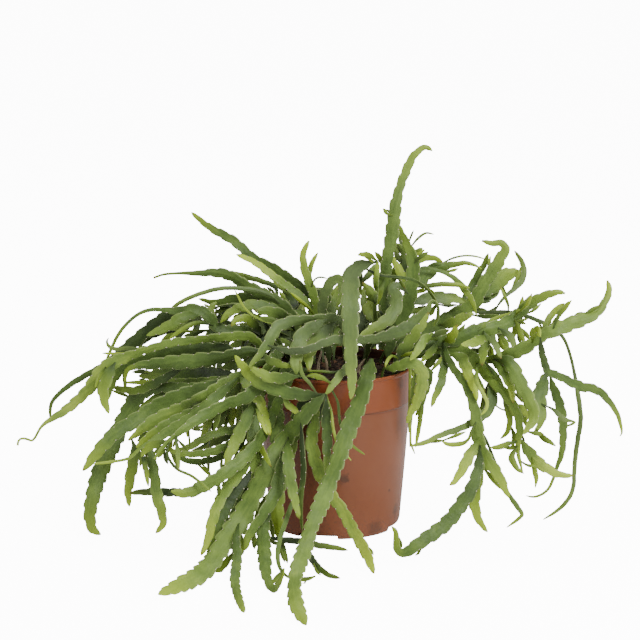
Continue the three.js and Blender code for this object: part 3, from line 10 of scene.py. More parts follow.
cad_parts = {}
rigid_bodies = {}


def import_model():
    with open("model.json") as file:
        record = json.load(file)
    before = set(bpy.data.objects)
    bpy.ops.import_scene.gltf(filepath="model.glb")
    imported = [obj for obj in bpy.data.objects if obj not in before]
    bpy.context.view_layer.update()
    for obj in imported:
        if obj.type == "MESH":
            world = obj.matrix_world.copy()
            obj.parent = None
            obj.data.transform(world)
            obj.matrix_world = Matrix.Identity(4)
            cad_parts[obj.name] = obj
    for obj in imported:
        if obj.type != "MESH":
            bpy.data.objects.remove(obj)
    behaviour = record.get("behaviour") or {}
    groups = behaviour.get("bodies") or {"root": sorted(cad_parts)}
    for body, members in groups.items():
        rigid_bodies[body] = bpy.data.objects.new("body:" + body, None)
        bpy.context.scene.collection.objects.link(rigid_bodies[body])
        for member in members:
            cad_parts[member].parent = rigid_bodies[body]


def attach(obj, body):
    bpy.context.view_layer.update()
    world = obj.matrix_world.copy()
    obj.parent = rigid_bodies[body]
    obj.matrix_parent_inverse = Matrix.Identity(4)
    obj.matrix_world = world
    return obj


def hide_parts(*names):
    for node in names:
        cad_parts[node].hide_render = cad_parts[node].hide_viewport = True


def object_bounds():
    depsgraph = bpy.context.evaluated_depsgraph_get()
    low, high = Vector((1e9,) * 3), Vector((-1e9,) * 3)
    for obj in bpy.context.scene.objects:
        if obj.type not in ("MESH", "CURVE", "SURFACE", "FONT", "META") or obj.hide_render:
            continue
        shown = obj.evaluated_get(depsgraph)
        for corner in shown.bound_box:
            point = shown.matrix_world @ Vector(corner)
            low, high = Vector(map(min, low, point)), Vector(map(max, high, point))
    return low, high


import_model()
cadBounds = [list(corner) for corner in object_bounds()]
mm = 0.001


def linear(hexColour):
    channels = [int(hexColour[i:i + 2], 16) / 255 for i in (1, 3, 5)]
    return tuple(c / 12.92 if c <= 0.04045 else ((c + 0.055) / 1.055) ** 2.4 for c in channels) + (1.0,)


def addNode(tree, kind, settings=None, links=None):
    # Settings are the node's own properties, or the values of its inputs by name or number.
    # Stops are the places and colours of a ramp.
    node = tree.nodes.new(kind)
    for key, value in (settings or {}).items():
        if key == "stops":
            elements = node.color_ramp.elements
            while len(elements) < len(value):
                elements.new(0.5)
            for element, (position, colour) in zip(elements, value):
                element.position = position
                element.color = linear(colour) if isinstance(colour, str) else (colour, colour, colour, 1.0)
        elif isinstance(key, str) and hasattr(node, key):
            setattr(node, key, value)
        else:
            node.inputs[key].default_value = value
    for key, source in (links or {}).items():
        tree.links.new(source, node.inputs[key])
    return node


def newMaterial(name, settings):
    material = bpy.data.materials.new(name)
    material.use_nodes = True
    tree = material.node_tree
    tree.nodes.clear()
    shader = addNode(tree, "ShaderNodeBsdfPrincipled", settings)
    addNode(tree, "ShaderNodeOutputMaterial", None, {"Surface": shader.outputs["BSDF"]})
    return material, tree, shader


def deselectAll():
    if bpy.context.object and bpy.context.object.mode != "OBJECT":
        bpy.ops.object.mode_set(mode="OBJECT")
    bpy.ops.object.select_all(action="DESELECT")


def finishPiece(piece, name, nodes, materials):
    piece.name = name
    piece.data.name = name
    piece.data.materials.clear()
    for material in materials:
        piece.data.materials.append(material)
    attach(piece, "root")
    if nodes:
        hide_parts(*nodes)
    return piece


def newPiece(name, points, faces, nodes, materials):
    mesh = bpy.data.meshes.new(name)
    mesh.from_pydata((np.asarray(points) * mm).tolist(), [], faces)
    mesh.polygons.foreach_set("use_smooth", [True] * len(mesh.polygons))
    mesh.update()
    piece = bpy.data.objects.new(name, mesh)
    bpy.context.scene.collection.objects.link(piece)
    return finishPiece(piece, name, nodes, materials)


# The photograph looks 12 degrees down from nearly two metres away, through a long lens.
view = {
    "tilt": 12,
    "distance": 1893,
    "aim": (-11.5, 0, 161.3),
    "lens": 138.46,
    "sensor": 36,
    "clip": (0.1, 20),
}


def addCamera():
    tilt = math.radians(view["tilt"])
    data = bpy.data.cameras.new("camera")
    data.lens = view["lens"]
    data.sensor_width = view["sensor"]
    data.clip_start, data.clip_end = view["clip"]
    camera = bpy.data.objects.new("camera", data)
    bpy.context.scene.collection.objects.link(camera)
    aim = Vector(view["aim"]) * mm
    back = Vector((0, -math.cos(tilt), math.sin(tilt))) * view["distance"] * mm
    camera.location = aim + back
    camera.rotation_euler = (math.radians(90 - view["tilt"]), 0, 0)
    bpy.context.scene.camera = camera


addCamera()
print("camera set")

# The stems are drawn as the photograph shows them: across and up on a sheet that stands square to the line of
# sight through the plant's middle, and fore, the distance in front of the pot's axis.
sheet = {
    "middle": (-11.15, 0, 160.8),
    "upAtMiddle": 154.57,
}
potShape = {
    "height": 127.4,
    "rimRadius": 60,
    "lipBulge": 0.6,
    "collarFootHeight": 100,
    "collarFootRadius": 58.8,
    "bodyTopRadius": 57.8,
    "bodyFootRadius": 50.2,
    "bodyFootHeight": 6,
    "footRadius": 47,
    "recessCount": 4,
    "recessTurn": -106,
    "recessWidth": 31,
    "recessHeight": 3.8,
    "recessDepth": 14,
    "coverWall": 1.2,
    "coverRadius": 48.7,
    "coverBase": 0.4,
    "drainRadius": 3,
    "drainPlace": 7,
    "cutRadius": 60,
    "cutBelow": 2,
    "cutLength": 10,
    "spokes": 144,
    "smoothAngle": 35,
}
stemShape = {
    "stubFoot": 109.4,
    "stubTop": 123.6,
    "thickness": 2.3,
    "leastWidth": 1.4,
    "sampleStep": 3,
    "curveSteps": 24,
    "neckLength": 14,
    "neckShare": 0.34,
    "fullness": 1.12,
    "bluntWidth": 5,
    "bluntShare": 0.85,
    "tipLength": 9,
    "tipShare": 0.34,
    "groundGap": 0.5,
    "potGap": 1.7,
    "layerGap": 3.5,
    "rounds": 220,
    "lastRounds": 30,
    "give": 0.7,
    "evening": 0.25,
    "leastSlope": 0.45,
    "faceTurn": 24,
    "faceSmoothing": 6,
    "spot": 4.3,
    "runGap": 4,
    "reachDepth": 46,
    "acrossSamples": (-0.5, -0.17, 0.17, 0.5),
    "jointClear": 16,
    "stiffLength": 6,
    "freeAfter": 44,
    "besidePot": 72,
    "depthSearch": 150,
    "depthStep": 1.5,
    "soilClear": 124,
    "rimClear": 131,
    "rimInner": 54,
    "rimOuter": 64,
    "rimDrop": 6,
    "rimSideDrop": 12,
    "rimRamp": 0.55,
    "followLength": 24,
}
# Each spray has the place of its foot, across and fore, and its stems: a tone, widths from joint to tip,
# fores spread evenly after the start, and the route. A stem starts at the nearest place on an earlier stem of
# its spray.
sprays = {
    "hang_left": ((-40, 20), [
        ("m", [3, 5, 9, 9, 8, 4], [26, 34, 46, 58], [-50, 124, -61, 119, -73, 112, -100, 96, -120, 86, -140,
            77, -159, 62.5]),
        ("m", [3, 6, 6, 10, 11, 11, 9, 2], [14, 0, -4, 12, 34, 44], [-73, 112, -88, 108, -105, 103.5, -138,
            103, -150, 98, -161, 80, -171, 60, -180, 40, -186, 20, -188.5, 4, -186, -6, -180, -10]),
        ("m", [3, 7, 8, 8, 4], [46, 60, 68], [-85, 106, -95, 92, -112, 82, -128, 74, -143, 65, -153, 57]),
        ("m", [3, 7, 7, 7, 3, 2, 2], [44, 60, 76, 84], [-73, 111, -92, 95, -110, 80, -130, 68, -150, 56,
            -158, 49, -172, 46, -186, 44.5]),
        ("m", [3, 8, 9, 9, 8, 5], [22, 34, 48, 60], [-74, 112, -95, 104, -110, 100, -125, 95, -140, 87, -150,
            80, -170, 67, -184, 52, -194, 39]),
        ("b", [3, 6.4, 6.6, 6, 3], [62, 72, 76], [-72, 111, -64, 101, -57, 90, -53, 78, -50, 66]),
        ("m", [3, 5, 5, 4, 2], [4, -22, -34], [-74, 112, -88, 109, -105, 107.5, -135, 107, -163, 107]),
        ("o", [3, 7, 8.5, 9, 6], [-10, -44, -56], [-74, 114, -90, 115, -110, 114, -130, 113.5, -151, 112]),
        ("m", [3, 8, 7, 6, 3], [64, 70, 72], [-157, 64, -153, 54, -154, 47, -157, 35, -159, 22, -158, 11.5]),
        ("m", [3, 6, 6, 7, 6, 2], [90, 96, 100], [-140, 61, -141, 48, -139, 38, -137, 20, -134, 10, -132.5,
            -2, -138, -9]),
        ("m", [2, 4, 3], [88, 92], [-147, 56, -145.5, 40, -143.5, 27]),
        ("d", [3, 8, 9.5, 8, 4], [6, -6, -12], [-96, 105, -112, 100.5, -126, 96.5, -138, 90.5, -148, 84]),
        ("d", [3, 7, 8, 8, 4], [20, 10, 4], [-99, 89.5, -110, 84.5, -122, 78, -135, 70, -150, 61]),
    ]),
    "hang_left_front": ((-27, 36), [
        ("m", [3, 6, 8, 8, 7, 4, 3], [50, 72, 92, 104], [-36, 118, -48, 112, -58, 104, -70, 95, -80, 92,
            -100, 82, -118, 70, -130, 60, -139, 48]),
        ("m", [2, 2, 2, 2], [112, 116], [-127, 62, -129, 52, -122, 41, -110, 35, -95, 23]),
        ("m", [2, 3.4, 2.5], [108, 112], [-121, 66, -121, 52, -120, 39]),
    ]),
    "hang_left_under": ((-46, 6), [
        ("m", [3, 6, 6, 5, 4], [30, 50, 62, 72], [-58, 122, -66, 112, -68, 98, -68, 82, -76, 71, -90, 68,
            -104, 62, -115, 56, -127, 53]),
        ("m", [2, 5, 5, 4, 3], [64, 74, 82], [-67, 78, -72, 66, -80, 60, -95, 54, -110, 52, -122, 53, -131,
            58]),
        ("d", [2, 5, 5, 4, 3], [60, 66, 70], [-68, 86, -72, 62, -80, 54, -95, 48, -110, 46.5, -120, 50, -128,
            58]),
        ("m", [2, 2.4, 2], [68, 72], [-106, 47, -98, 40, -95, 34]),
        ("m", [2, 7, 8, 8, 5], [14, 6], [-66, 112, -74, 106, -79, 96, -80, 84, -79, 72]),
        ("d", [2, 5, 6, 6, 4], [10, 2], [-79, 92, -85, 84, -88, 77, -90, 70]),
        ("m", [2, 5, 6, 5, 3], [20, 10], [-80, 86, -90, 84, -97, 78, -100, 70, -103, 64]),
    ]),
    "hang_front_left": ((-14, 42), [
        ("m", [3, 5, 7, 8, 8, 6], [62, 80, 100, 116], [-24, 116, -35, 107.5, -43.5, 92, -51.5, 75, -60, 60,
            -70, 49, -85, 37, -100, 28, -115, 22, -126, 23.5]),
        ("b", [3, 7, 7, 6, 3], [86, 112, 122], [-62, 58, -68, 45, -76, 34, -85, 22, -92, 8, -96, -6, -98,
            -15, -103, -26]),
        ("d", [3, 5, 5, 5, 3], [80, 78], [-112, 23, -130, 22.5, -145, 23, -158, 22]),
    ]),
    "column_left": ((-33, 8), [
        ("m", [3, 6, 8.5, 8.5, 8.5, 6], [49, 65, 77, 85], [-40, 126, -47, 112, -54, 98, -60, 84, -63, 70,
            -62, 55, -62, 45, -61, 35, -60, 22]),
        ("m", [3, 7.5, 8, 7, 5], [74, 84, 92], [-60, 90, -66, 78, -72, 70, -77, 60, -82, 50, -84, 41]),
        ("b", [2, 3.5, 2], [84, 90], [-58, 80, -55, 72, -52, 67]),
        ("m", [2, 4.5, 3], [92, 100], [-58, 64, -53, 50, -49, 42]),
        ("d", [3, 7, 8, 6, 3], [90, 100, 112], [-61, 40, -68, 32, -76, 24, -86, 8, -92, -10, -98, -28]),
        ("d", [3, 8, 8, 7, 3], [84, 88, 90], [-61, 36, -66, 26, -73, 12, -79, 0, -85, -13]),
    ]),
    "column_middle": ((-20, 22), [
        ("m", [3, 6, 9.5, 9.5, 9, 9, 5], [56, 68, 76, 84, 90], [-26, 124, -38, 112, -46, 96, -45, 80, -44,
            65, -42, 50, -43, 30, -45, 12, -44, 0, -43, -14]),
        ("m", [3, 7, 8.5, 8, 5, 4, 2], [104, 140, 172], [-45, 16, -52, 8, -55, -4, -55, -15, -54, -28, -53,
            -40, -50, -49, -47, -52, -42, -44, -39, -36]),
        ("d", [2, 4, 3], [112, 124], [-43, -10, -40, -20, -36.5, -32]),
        ("d", [2, 4, 4, 4, 3], [104, 100, 92], [-54, -10, -40, -14, -27, -15, -13, -18, 0, -20, 10, -22]),
    ]),
    "front_hub": ((12, 30), [
        ("g", [3, 3.6, 5, 6], [46, 62, 70, 74], [11.5, 121, 5, 114, -1, 106, -7, 98]),
        ("m", [7, 10, 12.5, 12.5, 12.5, 12, 10, 5], [76, 83, 101, 138, 182], [-8, 96, -20, 85, -30, 73, -40,
            60, -50, 42, -57, 30, -65, 15, -72, 2, -82, -12, -92, -28, -103, -40, -115, -47, -127, -53, -136,
            -56]),
        ("m", [3, 7, 8, 8, 7, 5], [70, 66, 62], [-9, 98, -20, 97, -35, 99, -50, 104, -62, 110, -70, 118, -77,
            128]),
        ("d", [3, 6, 6, 6, 4], [72, 78, 86], [-6, 97, -7, 80, -6, 65, -6.5, 50, -7, 36]),
        ("b", [2, 7, 8, 7, 7, 7, 4], [66, 68, 72, 104, 134], [-10, 94, -15, 78, -18, 62, -14, 44, -5, 25, 5,
            10, 13, -5, 20, -16, 26, -28, 30, -40]),
        ("m", [1.6, 1.9, 2, 1.6], [70, 74], [-2, 102, 2, 92, 3, 81, 5, 72, 9, 64, 14, 58, 23, 51.5]),
        ("y", [1.6, 1.9, 2, 1.6], [76, 82], [-5, 97, -3, 85, -1, 70, 3, 58, 12.5, 47]),
        ("g", [2, 3, 2.5], [64, 60], [-1, 106, -10, 111, -22, 112]),
        ("m", [1.8, 1.8, 1.8], [60, 58], [8, 118, 0, 115, -10, 115.5, -22, 116]),
        ("g", [2.5, 2.5, 2.5], [72, 74], [-12, 99, -20, 107, -25, 113, -27, 124]),
        ("m", [2, 6, 7, 7, 4], [70, 66], [-25, 113, -35, 111, -50, 111, -66, 119]),
        ("m", [3, 8, 8, 7, 5], [98, 104, 110], [-36, 66, -42, 38, -46, 22, -56, 5, -66, -10, -69, -22]),
        ("m", [3, 6, 6, 5, 3], [124, 166, 222], [-74, -2, -76, -14, -75, -25, -76.5, -38, -77, -45, -75, -55,
            -70, -70]),
        ("m", [3, 7, 7, 6, 3], [106, 112, 116], [-37, 62, -36, 45, -34, 32, -32, 20, -30, 12, -27.5, 2]),
        ("d", [2, 3.6, 3.6, 3, 2], [88, 92, 98], [-26, 76, -25, 58, -24, 40, -26, 20, -26, 5, -25, -8]),
        ("m", [2, 3, 3, 3, 1.6, 1.6], [96, 116, 136, 148], [-26, 28, -33, 14, -38, 0, -42, -12, -44, -24,
            -42, -36, -35, -43, -22, -45, -15, -42]),
        ("b", [3, 5, 5, 3], [70, 69], [-42, 101, -37, 91, -31, 85.5, -25, 80.5]),
        ("d", [3, 8, 8.5, 8, 4], [67, 65, 64, 65], [-7, 98, -17, 95, -25, 87, -30, 74, -33, 60, -33, 46]),
        ("d", [3, 7, 8, 7, 4], [67, 65, 64], [-7, 97, -12, 89, -16, 76, -18, 62, -19, 48]),
        ("m", [2, 4, 5, 4], [66, 62], [-3, 104, -10, 105.5, -16, 106, -21, 105.5]),
        ("d", [2, 6, 7, 6, 3], [62, 66], [-19, 62, -18, 52, -12, 42, -9, 30]),
    ]),
    "front_long": ((30, 36), [
        ("m", [3, 3, 4], [38, 42], [30, 116, 29, 121, 28, 125]),
        ("m", [8, 10, 10.5, 10, 10, 9.5, 9, 9, 9, 4], [70, 77, 85, 98, 114, 138, 164, 192, 220, 248], [28,
            125, 26, 116, 24, 108, 22, 100, 19, 91, 15, 82, 11, 72, 7, 61, 2, 46, -5, 28, -12, 10, -18, -5,
            -23, -20, -29, -38, -31, -50, -30, -62, -27, -70, -22, -79.5]),
        ("d", [2, 4, 4, 3], [122, 142], [-22, -18, -17, -30, -12, -36, -5, -41, 4, -43.5]),
    ]),
    "fall_middle": ((24, -14), [
        ("m", [3, 4, 3, 3, 4], [-6, 4, 10], [27, 138, 31, 150, 31, 165, 32, 175, 32, 187, 33, 200]),
        ("g", [3, 10, 11, 10.5, 9, 6.5, 3.5], [26, 50, 66, 74], [33, 200, 22, 197, 14, 191, 12, 178, 12, 160,
            12.5, 140, 12.5, 120, 13, 103, 12, 94]),
        ("m", [3, 5, 5, 4], [14, 18], [32, 203, 25, 205.5, 18, 205]),
        ("d", [2, 2, 2, 2, 2], [-4, -10, -4], [20, 194, 35, 190, 50, 188, 60, 186, 68, 181.5, 75, 174, 79,
            166, 79, 158, 76, 150]),
        ("d", [2, 7, 7, 4], [20, 26], [31, 168, 27, 177, 21, 184]),
        ("d", [2, 4, 4, 3], [10, 6], [20, 194, 19.5, 187, 19, 180, 20, 174]),
        ("d", [3, 8, 9, 6], [-14, -20], [31, 152, 27, 158, 26, 165, 29, 172]),
        ("b", [1.6, 2, 2], [8, 10], [32, 196, 30, 189, 30, 179]),
    ]),
    "middle_fold": ((8, 10), [
        ("g", [3, 6, 6.5, 6.5, 7, 7, 4], [24, 44, 60, 70], [9, 135, 8, 150, 0, 156, -20, 155.5, -35, 153.5,
            -45, 149, -50, 140, -57, 130, -66, 119]),
        ("g", [3, 8, 9, 8, 5], [40, 56, 64], [2, 154, -8, 146, -16, 137, -20, 128, -20, 116]),
        ("g", [3, 8, 9, 9, 6], [48, 60, 68], [-6, 155, -16, 150, -24, 145, -28, 137, -30, 126, -30, 113]),
        ("g", [2, 5, 5, 5.5, 6, 8, 8, 2.4, 2], [66, 50, 34, 24, 16], [-52, 136, -35, 131.5, -20, 133, -10,
            137, 0, 140, 15, 140, 30, 141, 45, 145, 55, 149, 62, 154, 70, 162, 75, 170, 79, 166, 79.5, 158,
            77, 151]),
        ("m", [2, 6, 6, 4], [58, 60], [-57, 130, -50, 124, -42, 121, -33, 119]),
    ]),
    "crown_middle": ((-4, -8), [
        ("g", [3, 7, 7, 7, 6, 4], [-4, 0, 4, 6], [-6, 140, -9, 160, -8, 172, -4, 182, 2, 187, 6, 181, 4, 172,
            1, 165]),
        ("d", [2, 6, 8, 6, 3], [-16, -20], [-8, 152, -4, 160, 0, 170, 3, 180]),
    ]),
    "crown_right": ((41, -10), [
        ("m", [3, 7, 9, 9, 9, 8, 6, 3], [-14, -16, -18, -20], [42, 134, 47, 145, 52, 157, 56, 168, 58, 178,
            60, 190, 60, 200, 57, 210, 53, 219, 49, 229]),
        ("m", [3, 6, 8, 8.5, 8.5, 8, 7, 5, 3], [-6, 0, 2, 0, -6], [48, 150, 40, 162, 36, 174, 38.5, 188, 40,
            200, 43, 215, 45, 230, 47, 245, 51, 260, 55, 270, 59, 279, 64, 285, 70, 288, 75, 285]),
        ("m", [2, 4, 3], [4, 6], [44, 234, 40, 237, 37, 240.5]),
        ("g", [3, 8, 9, 6, 3], [-30, -34], [58, 184, 55, 194, 54, 203, 51, 211, 47.5, 214]),
        ("b", [2, 6, 6, 3], [-8, -4], [57, 180, 53, 187, 49, 194, 45.5, 200, 43.5, 205]),
        ("g", [2, 6, 8, 8, 7, 4], [0, 12, 24], [56, 174, 50, 181, 45, 180, 47.5, 171, 46, 163, 40, 155, 30,
            149, 19, 143]),
        ("g", [2, 2.5, 2], [-22, -22], [56, 212, 58, 218, 60.5, 224]),
        ("g", [2, 2, 1.5], [-26, -30], [58, 210, 64, 218, 70, 222, 76, 221]),
        ("g", [2, 4, 3], [-14, -10], [59, 198, 65, 203, 72, 207.5]),
        ("b", [2, 5, 5, 4], [-26, -32], [60, 196, 68, 202.5, 76, 203, 83, 199.5]),
        ("m", [2, 2, 2.4, 3, 4.5, 4, 1.6], [-26, -30, -26, -20], [59, 184, 64, 193, 68, 195.5, 75, 194, 85,
            191, 93, 186, 100, 178, 106, 169, 109, 158]),
        ("g", [3, 7, 8, 8.5, 5], [-22, -28], [56, 166, 66, 170, 74, 172, 85, 171.5, 92, 171, 101, 169]),
        ("m", [2, 3.5, 3.5, 3.5, 3], [-18, -22], [58, 179, 71, 181, 80, 182.5, 89, 182.5, 97, 181.5, 104,
            179.5]),
        ("m", [2, 8, 9, 6, 4, 3, 1.6], [-34, -36, -34], [58, 176, 65, 185, 71, 191, 78, 195.5, 85, 196.5, 93,
            198, 100, 199, 108, 197, 113, 194]),
        ("m", [1.6, 1.6, 1.6], [-38, -42], [78, 195, 85, 200, 92, 203, 100, 204.5, 108, 204, 115, 202]),
        ("d", [2, 6, 7, 5], [-24, -28], [44, 148, 37, 152, 31, 158, 27, 166, 24, 172]),
        ("m", [2, 4, 4, 3], [-2, -8], [38, 188, 36.5, 181, 34, 173, 32, 166]),
        ("d", [2, 6, 7, 4], [-14, -18], [37, 176, 42, 182, 45, 190, 47, 198]),
    ]),
    "crown_left": ((-16, -22), [
        ("b", [3, 4, 5, 6, 5, 4], [-30, -34, -38], [-15, 140, -14, 155, -14, 166, -17, 176, -22, 190, -24.5,
            200, -24, 208, -20, 216]),
        ("b", [2, 4, 3], [-42, -44], [-19, 182, -19, 193, -17, 200, -13, 207]),
        ("g", [1.6, 1.6, 1.6], [-30, -28], [-18, 180, -17, 184, -14, 187.5, -10, 188, -6, 187]),
        ("m", [2, 6, 6, 6, 6, 5, 3], [-40, -48, -54], [-14, 164, -22, 177, -33, 186, -47, 195, -62, 202, -78,
            216, -96, 226.5, -110.5, 238]),
        ("b", [2, 5, 5, 5, 3], [-34, -38], [-14, 158, -22, 169, -33, 178, -48, 189, -62, 199, -76, 205.5]),
        ("b", [2, 2.6, 2.6], [-20, -16], [-14, 155, -20, 164, -28, 171, -34, 176]),
    ]),
    "crown_left_back": ((-32, -22), [
        ("m", [3, 5, 8, 8, 8, 7, 4, 2, 1.6], [-28, -34, -38, -40], [-31, 140, -31, 152, -36, 162, -45, 169,
            -60, 177, -68, 181, -75, 186, -83, 190, -92, 191.5, -105, 191, -120, 191, -132, 190, -139.5,
            187.5]),
        ("m", [2, 3.5, 4, 3], [-50, -54], [-42, 168, -46, 180, -55, 184.5, -65, 187.5, -75, 190.5, -84,
            192]),
        ("g", [2, 3, 3, 3, 3], [-22, -18, -14], [-40, 166, -50, 174, -60, 177.5, -70, 179, -80, 179.7, -90,
            179, -100, 176.5, -110, 173, -120, 168, -127, 163]),
        ("m", [2, 7, 9, 8, 5, 2], [-46, -52], [-38, 164, -52, 171, -66, 171.5, -80, 170, -92, 168.5, -105,
            171.5]),
        ("m", [2, 6, 7, 6, 3], [-14, -8], [-36, 160, -50, 164.5, -63, 166.5, -74, 164, -82, 160, -88, 153]),
        ("d", [2, 8, 8, 4], [-4, 4], [-31, 148, -38, 157, -50, 161.5, -62, 162]),
        ("y", [1.6, 1.6, 1.6], [-12, -8], [-32, 146, -47, 151.5, -57, 155, -64, 159, -70, 165, -77, 178]),
        ("y", [1.6, 2, 2], [-24, -20], [-34, 158, -56, 160, -65, 155, -69, 158, -75, 158, -80, 154]),
        ("d", [2, 6, 7, 4], [-58, -62], [-34, 160, -31, 168, -37, 178, -45, 187]),
    ]),
    "arch_left": ((-45, -22), [
        ("m", [3, 6, 7, 7, 7, 3, 2.5, 2.5, 2], [-16, -10, -8, -6], [-50, 134, -60, 145, -72, 147, -85, 147,
            -92, 150, -98, 158, -107, 163, -120, 162, -140, 163, -150, 160, -160, 152, -167, 143, -172, 133,
            -177, 121]),
        ("d", [3, 8, 8, 8, 8, 4.5, 4, 3, 2], [-22, -28, -26, -20], [-98, 158, -110, 161, -130, 157, -150,
            142, -172, 123, -190, 113.5, -208, 102, -218, 91, -219, 77]),
        ("o", [2, 7, 7, 4], [0, 4], [-99, 159, -118, 157, -125, 152, -133, 148, -145, 143]),
        ("m", [2, 3, 3], [4, 8], [-93, 151, -104, 153, -112, 151, -120, 146, -128, 140]),
        ("m", [2, 2, 2], [-30, -34], [-90, 149, -98, 147, -110, 146.5, -121, 146]),
        ("g", [2, 7, 7, 3], [-16, -20], [-89, 149, -94, 156, -96, 163, -91, 169]),
        ("m", [2, 6, 6, 3], [4, 8], [-56, 143, -63, 152, -70, 156.5, -76, 155, -80, 150]),
    ]),
    "reach_left": ((-52, -8), [
        ("b", [3, 6, 6, 5, 5, 8, 9, 6, 2, 1.8], [0, 10, 14, 20, 26, 30], [-57, 134, -65, 142, -85, 142, -100,
            141, -110, 139.5, -123, 138, -140, 134, -160, 127, -176, 119, -190, 102, -207, 86, -225, 74,
            -233, 62.5, -238, 64, -243, 63, -244, 58.5]),
        ("m", [3, 8, 8, 7, 4], [30, 40], [-168, 124, -174, 113, -178, 101, -177, 93, -174, 83]),
        ("m", [2, 3, 2], [34, 38], [-176, 119, -182, 111, -184.5, 103]),
        ("g", [2, 3, 3, 2], [0, -6], [-146, 132.5, -160, 133, -168, 132.5, -173, 134, -175.5, 138, -174,
            141.5]),
        ("b", [2, 2, 2], [2, -2], [-143, 133, -160, 129.5, -179, 129.5]),
    ]),
    "wide_left": ((-52, 14), [
        ("m", [3, 6, 8, 9, 9, 9, 8, 4, 3], [20, 20, 14, 10], [-61, 126, -75, 127, -95, 125, -115, 123, -130,
            122, -145, 120.5, -155, 119, -160, 116, -161.5, 108]),
        ("d", [2, 5, 6, 4], [6, -8], [-110, 123, -128, 112, -153, 101, -171, 103.5]),
        ("d", [3, 8, 9, 9, 8, 8, 8, 5], [4, 0, -4, -4], [-72, 128, -84, 132, -98, 132.5, -115, 133, -130,
            129.5, -145, 124.5, -158, 120.5, -168, 115, -173, 106, -175, 93]),
    ]),
    "right_arm": ((50, -6), [
        ("m", [3, 4, 3.5, 3, 5, 9, 9, 8.5, 6, 3], [20, 34, 40, 40, 30, 10], [58, 132, 72, 137, 84, 136, 100,
            131, 117, 124.5, 130, 127.5, 145, 133, 152, 137.5, 160, 143, 168, 147, 176, 150, 185, 153.5, 195,
            157, 202, 161, 206, 166, 209, 172, 211, 178, 209.5, 185.5]),
        ("m", [2, 4.5, 4.5, 3], [24, 20], [160, 144, 163, 153, 168, 161, 173, 166, 176.5, 168]),
        ("m", [2, 3, 3, 2.5], [36, 40], [166, 146, 172, 158, 178, 165, 182, 170.5]),
        ("m", [3, 6, 6, 4], [48, 62], [150, 137, 153, 145, 156, 148, 158, 142]),
        ("m", [3, 4, 4.5, 5, 5, 6, 5.5, 4, 3, 1.6], [32, 22, 16, 14], [158, 142, 159, 131, 161, 123, 164,
            115, 172, 112, 180, 108, 190, 104, 200, 102, 206, 98, 212, 91, 217, 83, 219.5, 75, 220.5, 68,
            219, 65.5]),
        ("m", [3, 9, 9, 8, 6, 4], [40, 50, 56], [163, 116, 160, 106, 157, 97, 158, 88, 159, 80, 157, 74, 153,
            69]),
        ("m", [3, 6, 6, 5, 4, 2.4, 2, 1.6], [30, 30, 32, 34], [164, 115, 168, 104, 171, 96, 173.5, 88, 175,
            78, 175.5, 65, 174.5, 52, 171, 42, 168, 33, 164, 25, 158, 20.5, 152, 19, 147, 20]),
        ("g", [1.6, 2, 4, 2], [56, 60], [159, 90, 168, 86, 173, 81, 178, 78, 185, 77]),
        ("m", [2, 4.5, 4.5, 2.5], [66, 72], [154, 71, 158, 66, 164, 62, 170, 58]),
        ("m", [3, 8, 8.5, 8.5, 8, 7, 4], [56, 66, 74], [120, 125, 128, 124.5, 134, 122, 139, 114, 143, 105,
            148, 96, 152, 87, 153, 80, 149, 73, 145, 67]),
        ("b", [3, 6, 6.5, 6, 3], [52, 60], [119, 124.5, 127, 119, 132, 111, 136, 101, 137, 91]),
    ]),
    "right_up": ((36, -28), [
        ("m", [3, 5, 7, 9, 9, 9, 9, 8, 5, 3], [-34, -40, -44, -46], [48, 140, 64, 146, 80, 152, 90, 158, 100,
            163, 108, 170, 113, 180, 120, 191, 127, 202, 131, 210, 129, 214, 121, 214, 113, 216]),
        ("m", [3, 9, 11, 11, 9], [-56, -64], [108, 171, 113, 175, 120, 181, 128, 187, 135, 191, 142, 193]),
        ("m", [2, 3.5, 5, 5, 3], [-54, -58], [92, 159, 97, 167, 102, 176, 106, 182, 110, 190, 115, 198, 118,
            206.5]),
        ("g", [2, 3.5, 3, 3, 2.4, 2.4, 3.4, 3.4, 3.4, 3, 3, 1.6], [-38, -26, -12, 0, 4, 6], [101, 163.5, 110,
            161, 120, 161, 130, 161, 140, 160, 150, 157, 160, 153, 168, 150, 172, 146, 177, 139, 181, 128,
            184, 115, 186, 103, 188, 90, 189, 78, 187, 64, 185, 50, 184, 38, 183.5, 28, 181, 20, 176, 13,
            169, 7, 160, 1.5]),
        ("g", [2, 2.4, 4, 4, 3], [-50, -60], [121, 161, 130, 172, 139, 180, 144.5, 187, 145, 196, 142, 203,
            138, 208.5]),
        ("m", [2, 2.5, 2.5], [-30, -34], [134, 161, 133, 167, 130, 174, 127, 181]),
        ("m", [2, 6, 8, 7, 3], [-30, -34], [80, 150, 90, 152.5, 99, 157, 107, 160]),
        ("d", [2, 6, 8, 4], [-50, -56], [106, 167, 114, 170, 121, 175, 128, 181]),
    ]),
    "right_low": ((47, 12), [
        ("m", [3, 5, 6, 8, 10, 10, 9, 8, 7, 6, 5], [30, 30, 20, 8, 0], [56, 127, 66, 133, 76, 138, 88, 139,
            100, 143, 113, 147, 127, 150, 137, 156, 146, 164, 155, 170.5, 165, 175, 172, 176.5, 177, 175.5]),
        ("b", [2, 4, 4], [2, 0], [138, 157, 143, 166, 144.5, 173.5]),
        ("b", [2, 3, 3], [14, 18], [140, 159, 147, 166, 151.5, 175.5]),
        ("m", [3, 5, 5, 4], [16, 24], [137, 156, 141, 150, 143, 144, 146, 137]),
        ("g", [2, 6, 6, 4], [30, 36], [125, 150, 133, 144, 137, 138, 137.5, 130]),
        ("m", [2, 3, 3, 2], [6, 0], [108, 146, 117, 152.5, 123, 156, 130, 158.5, 137, 161]),
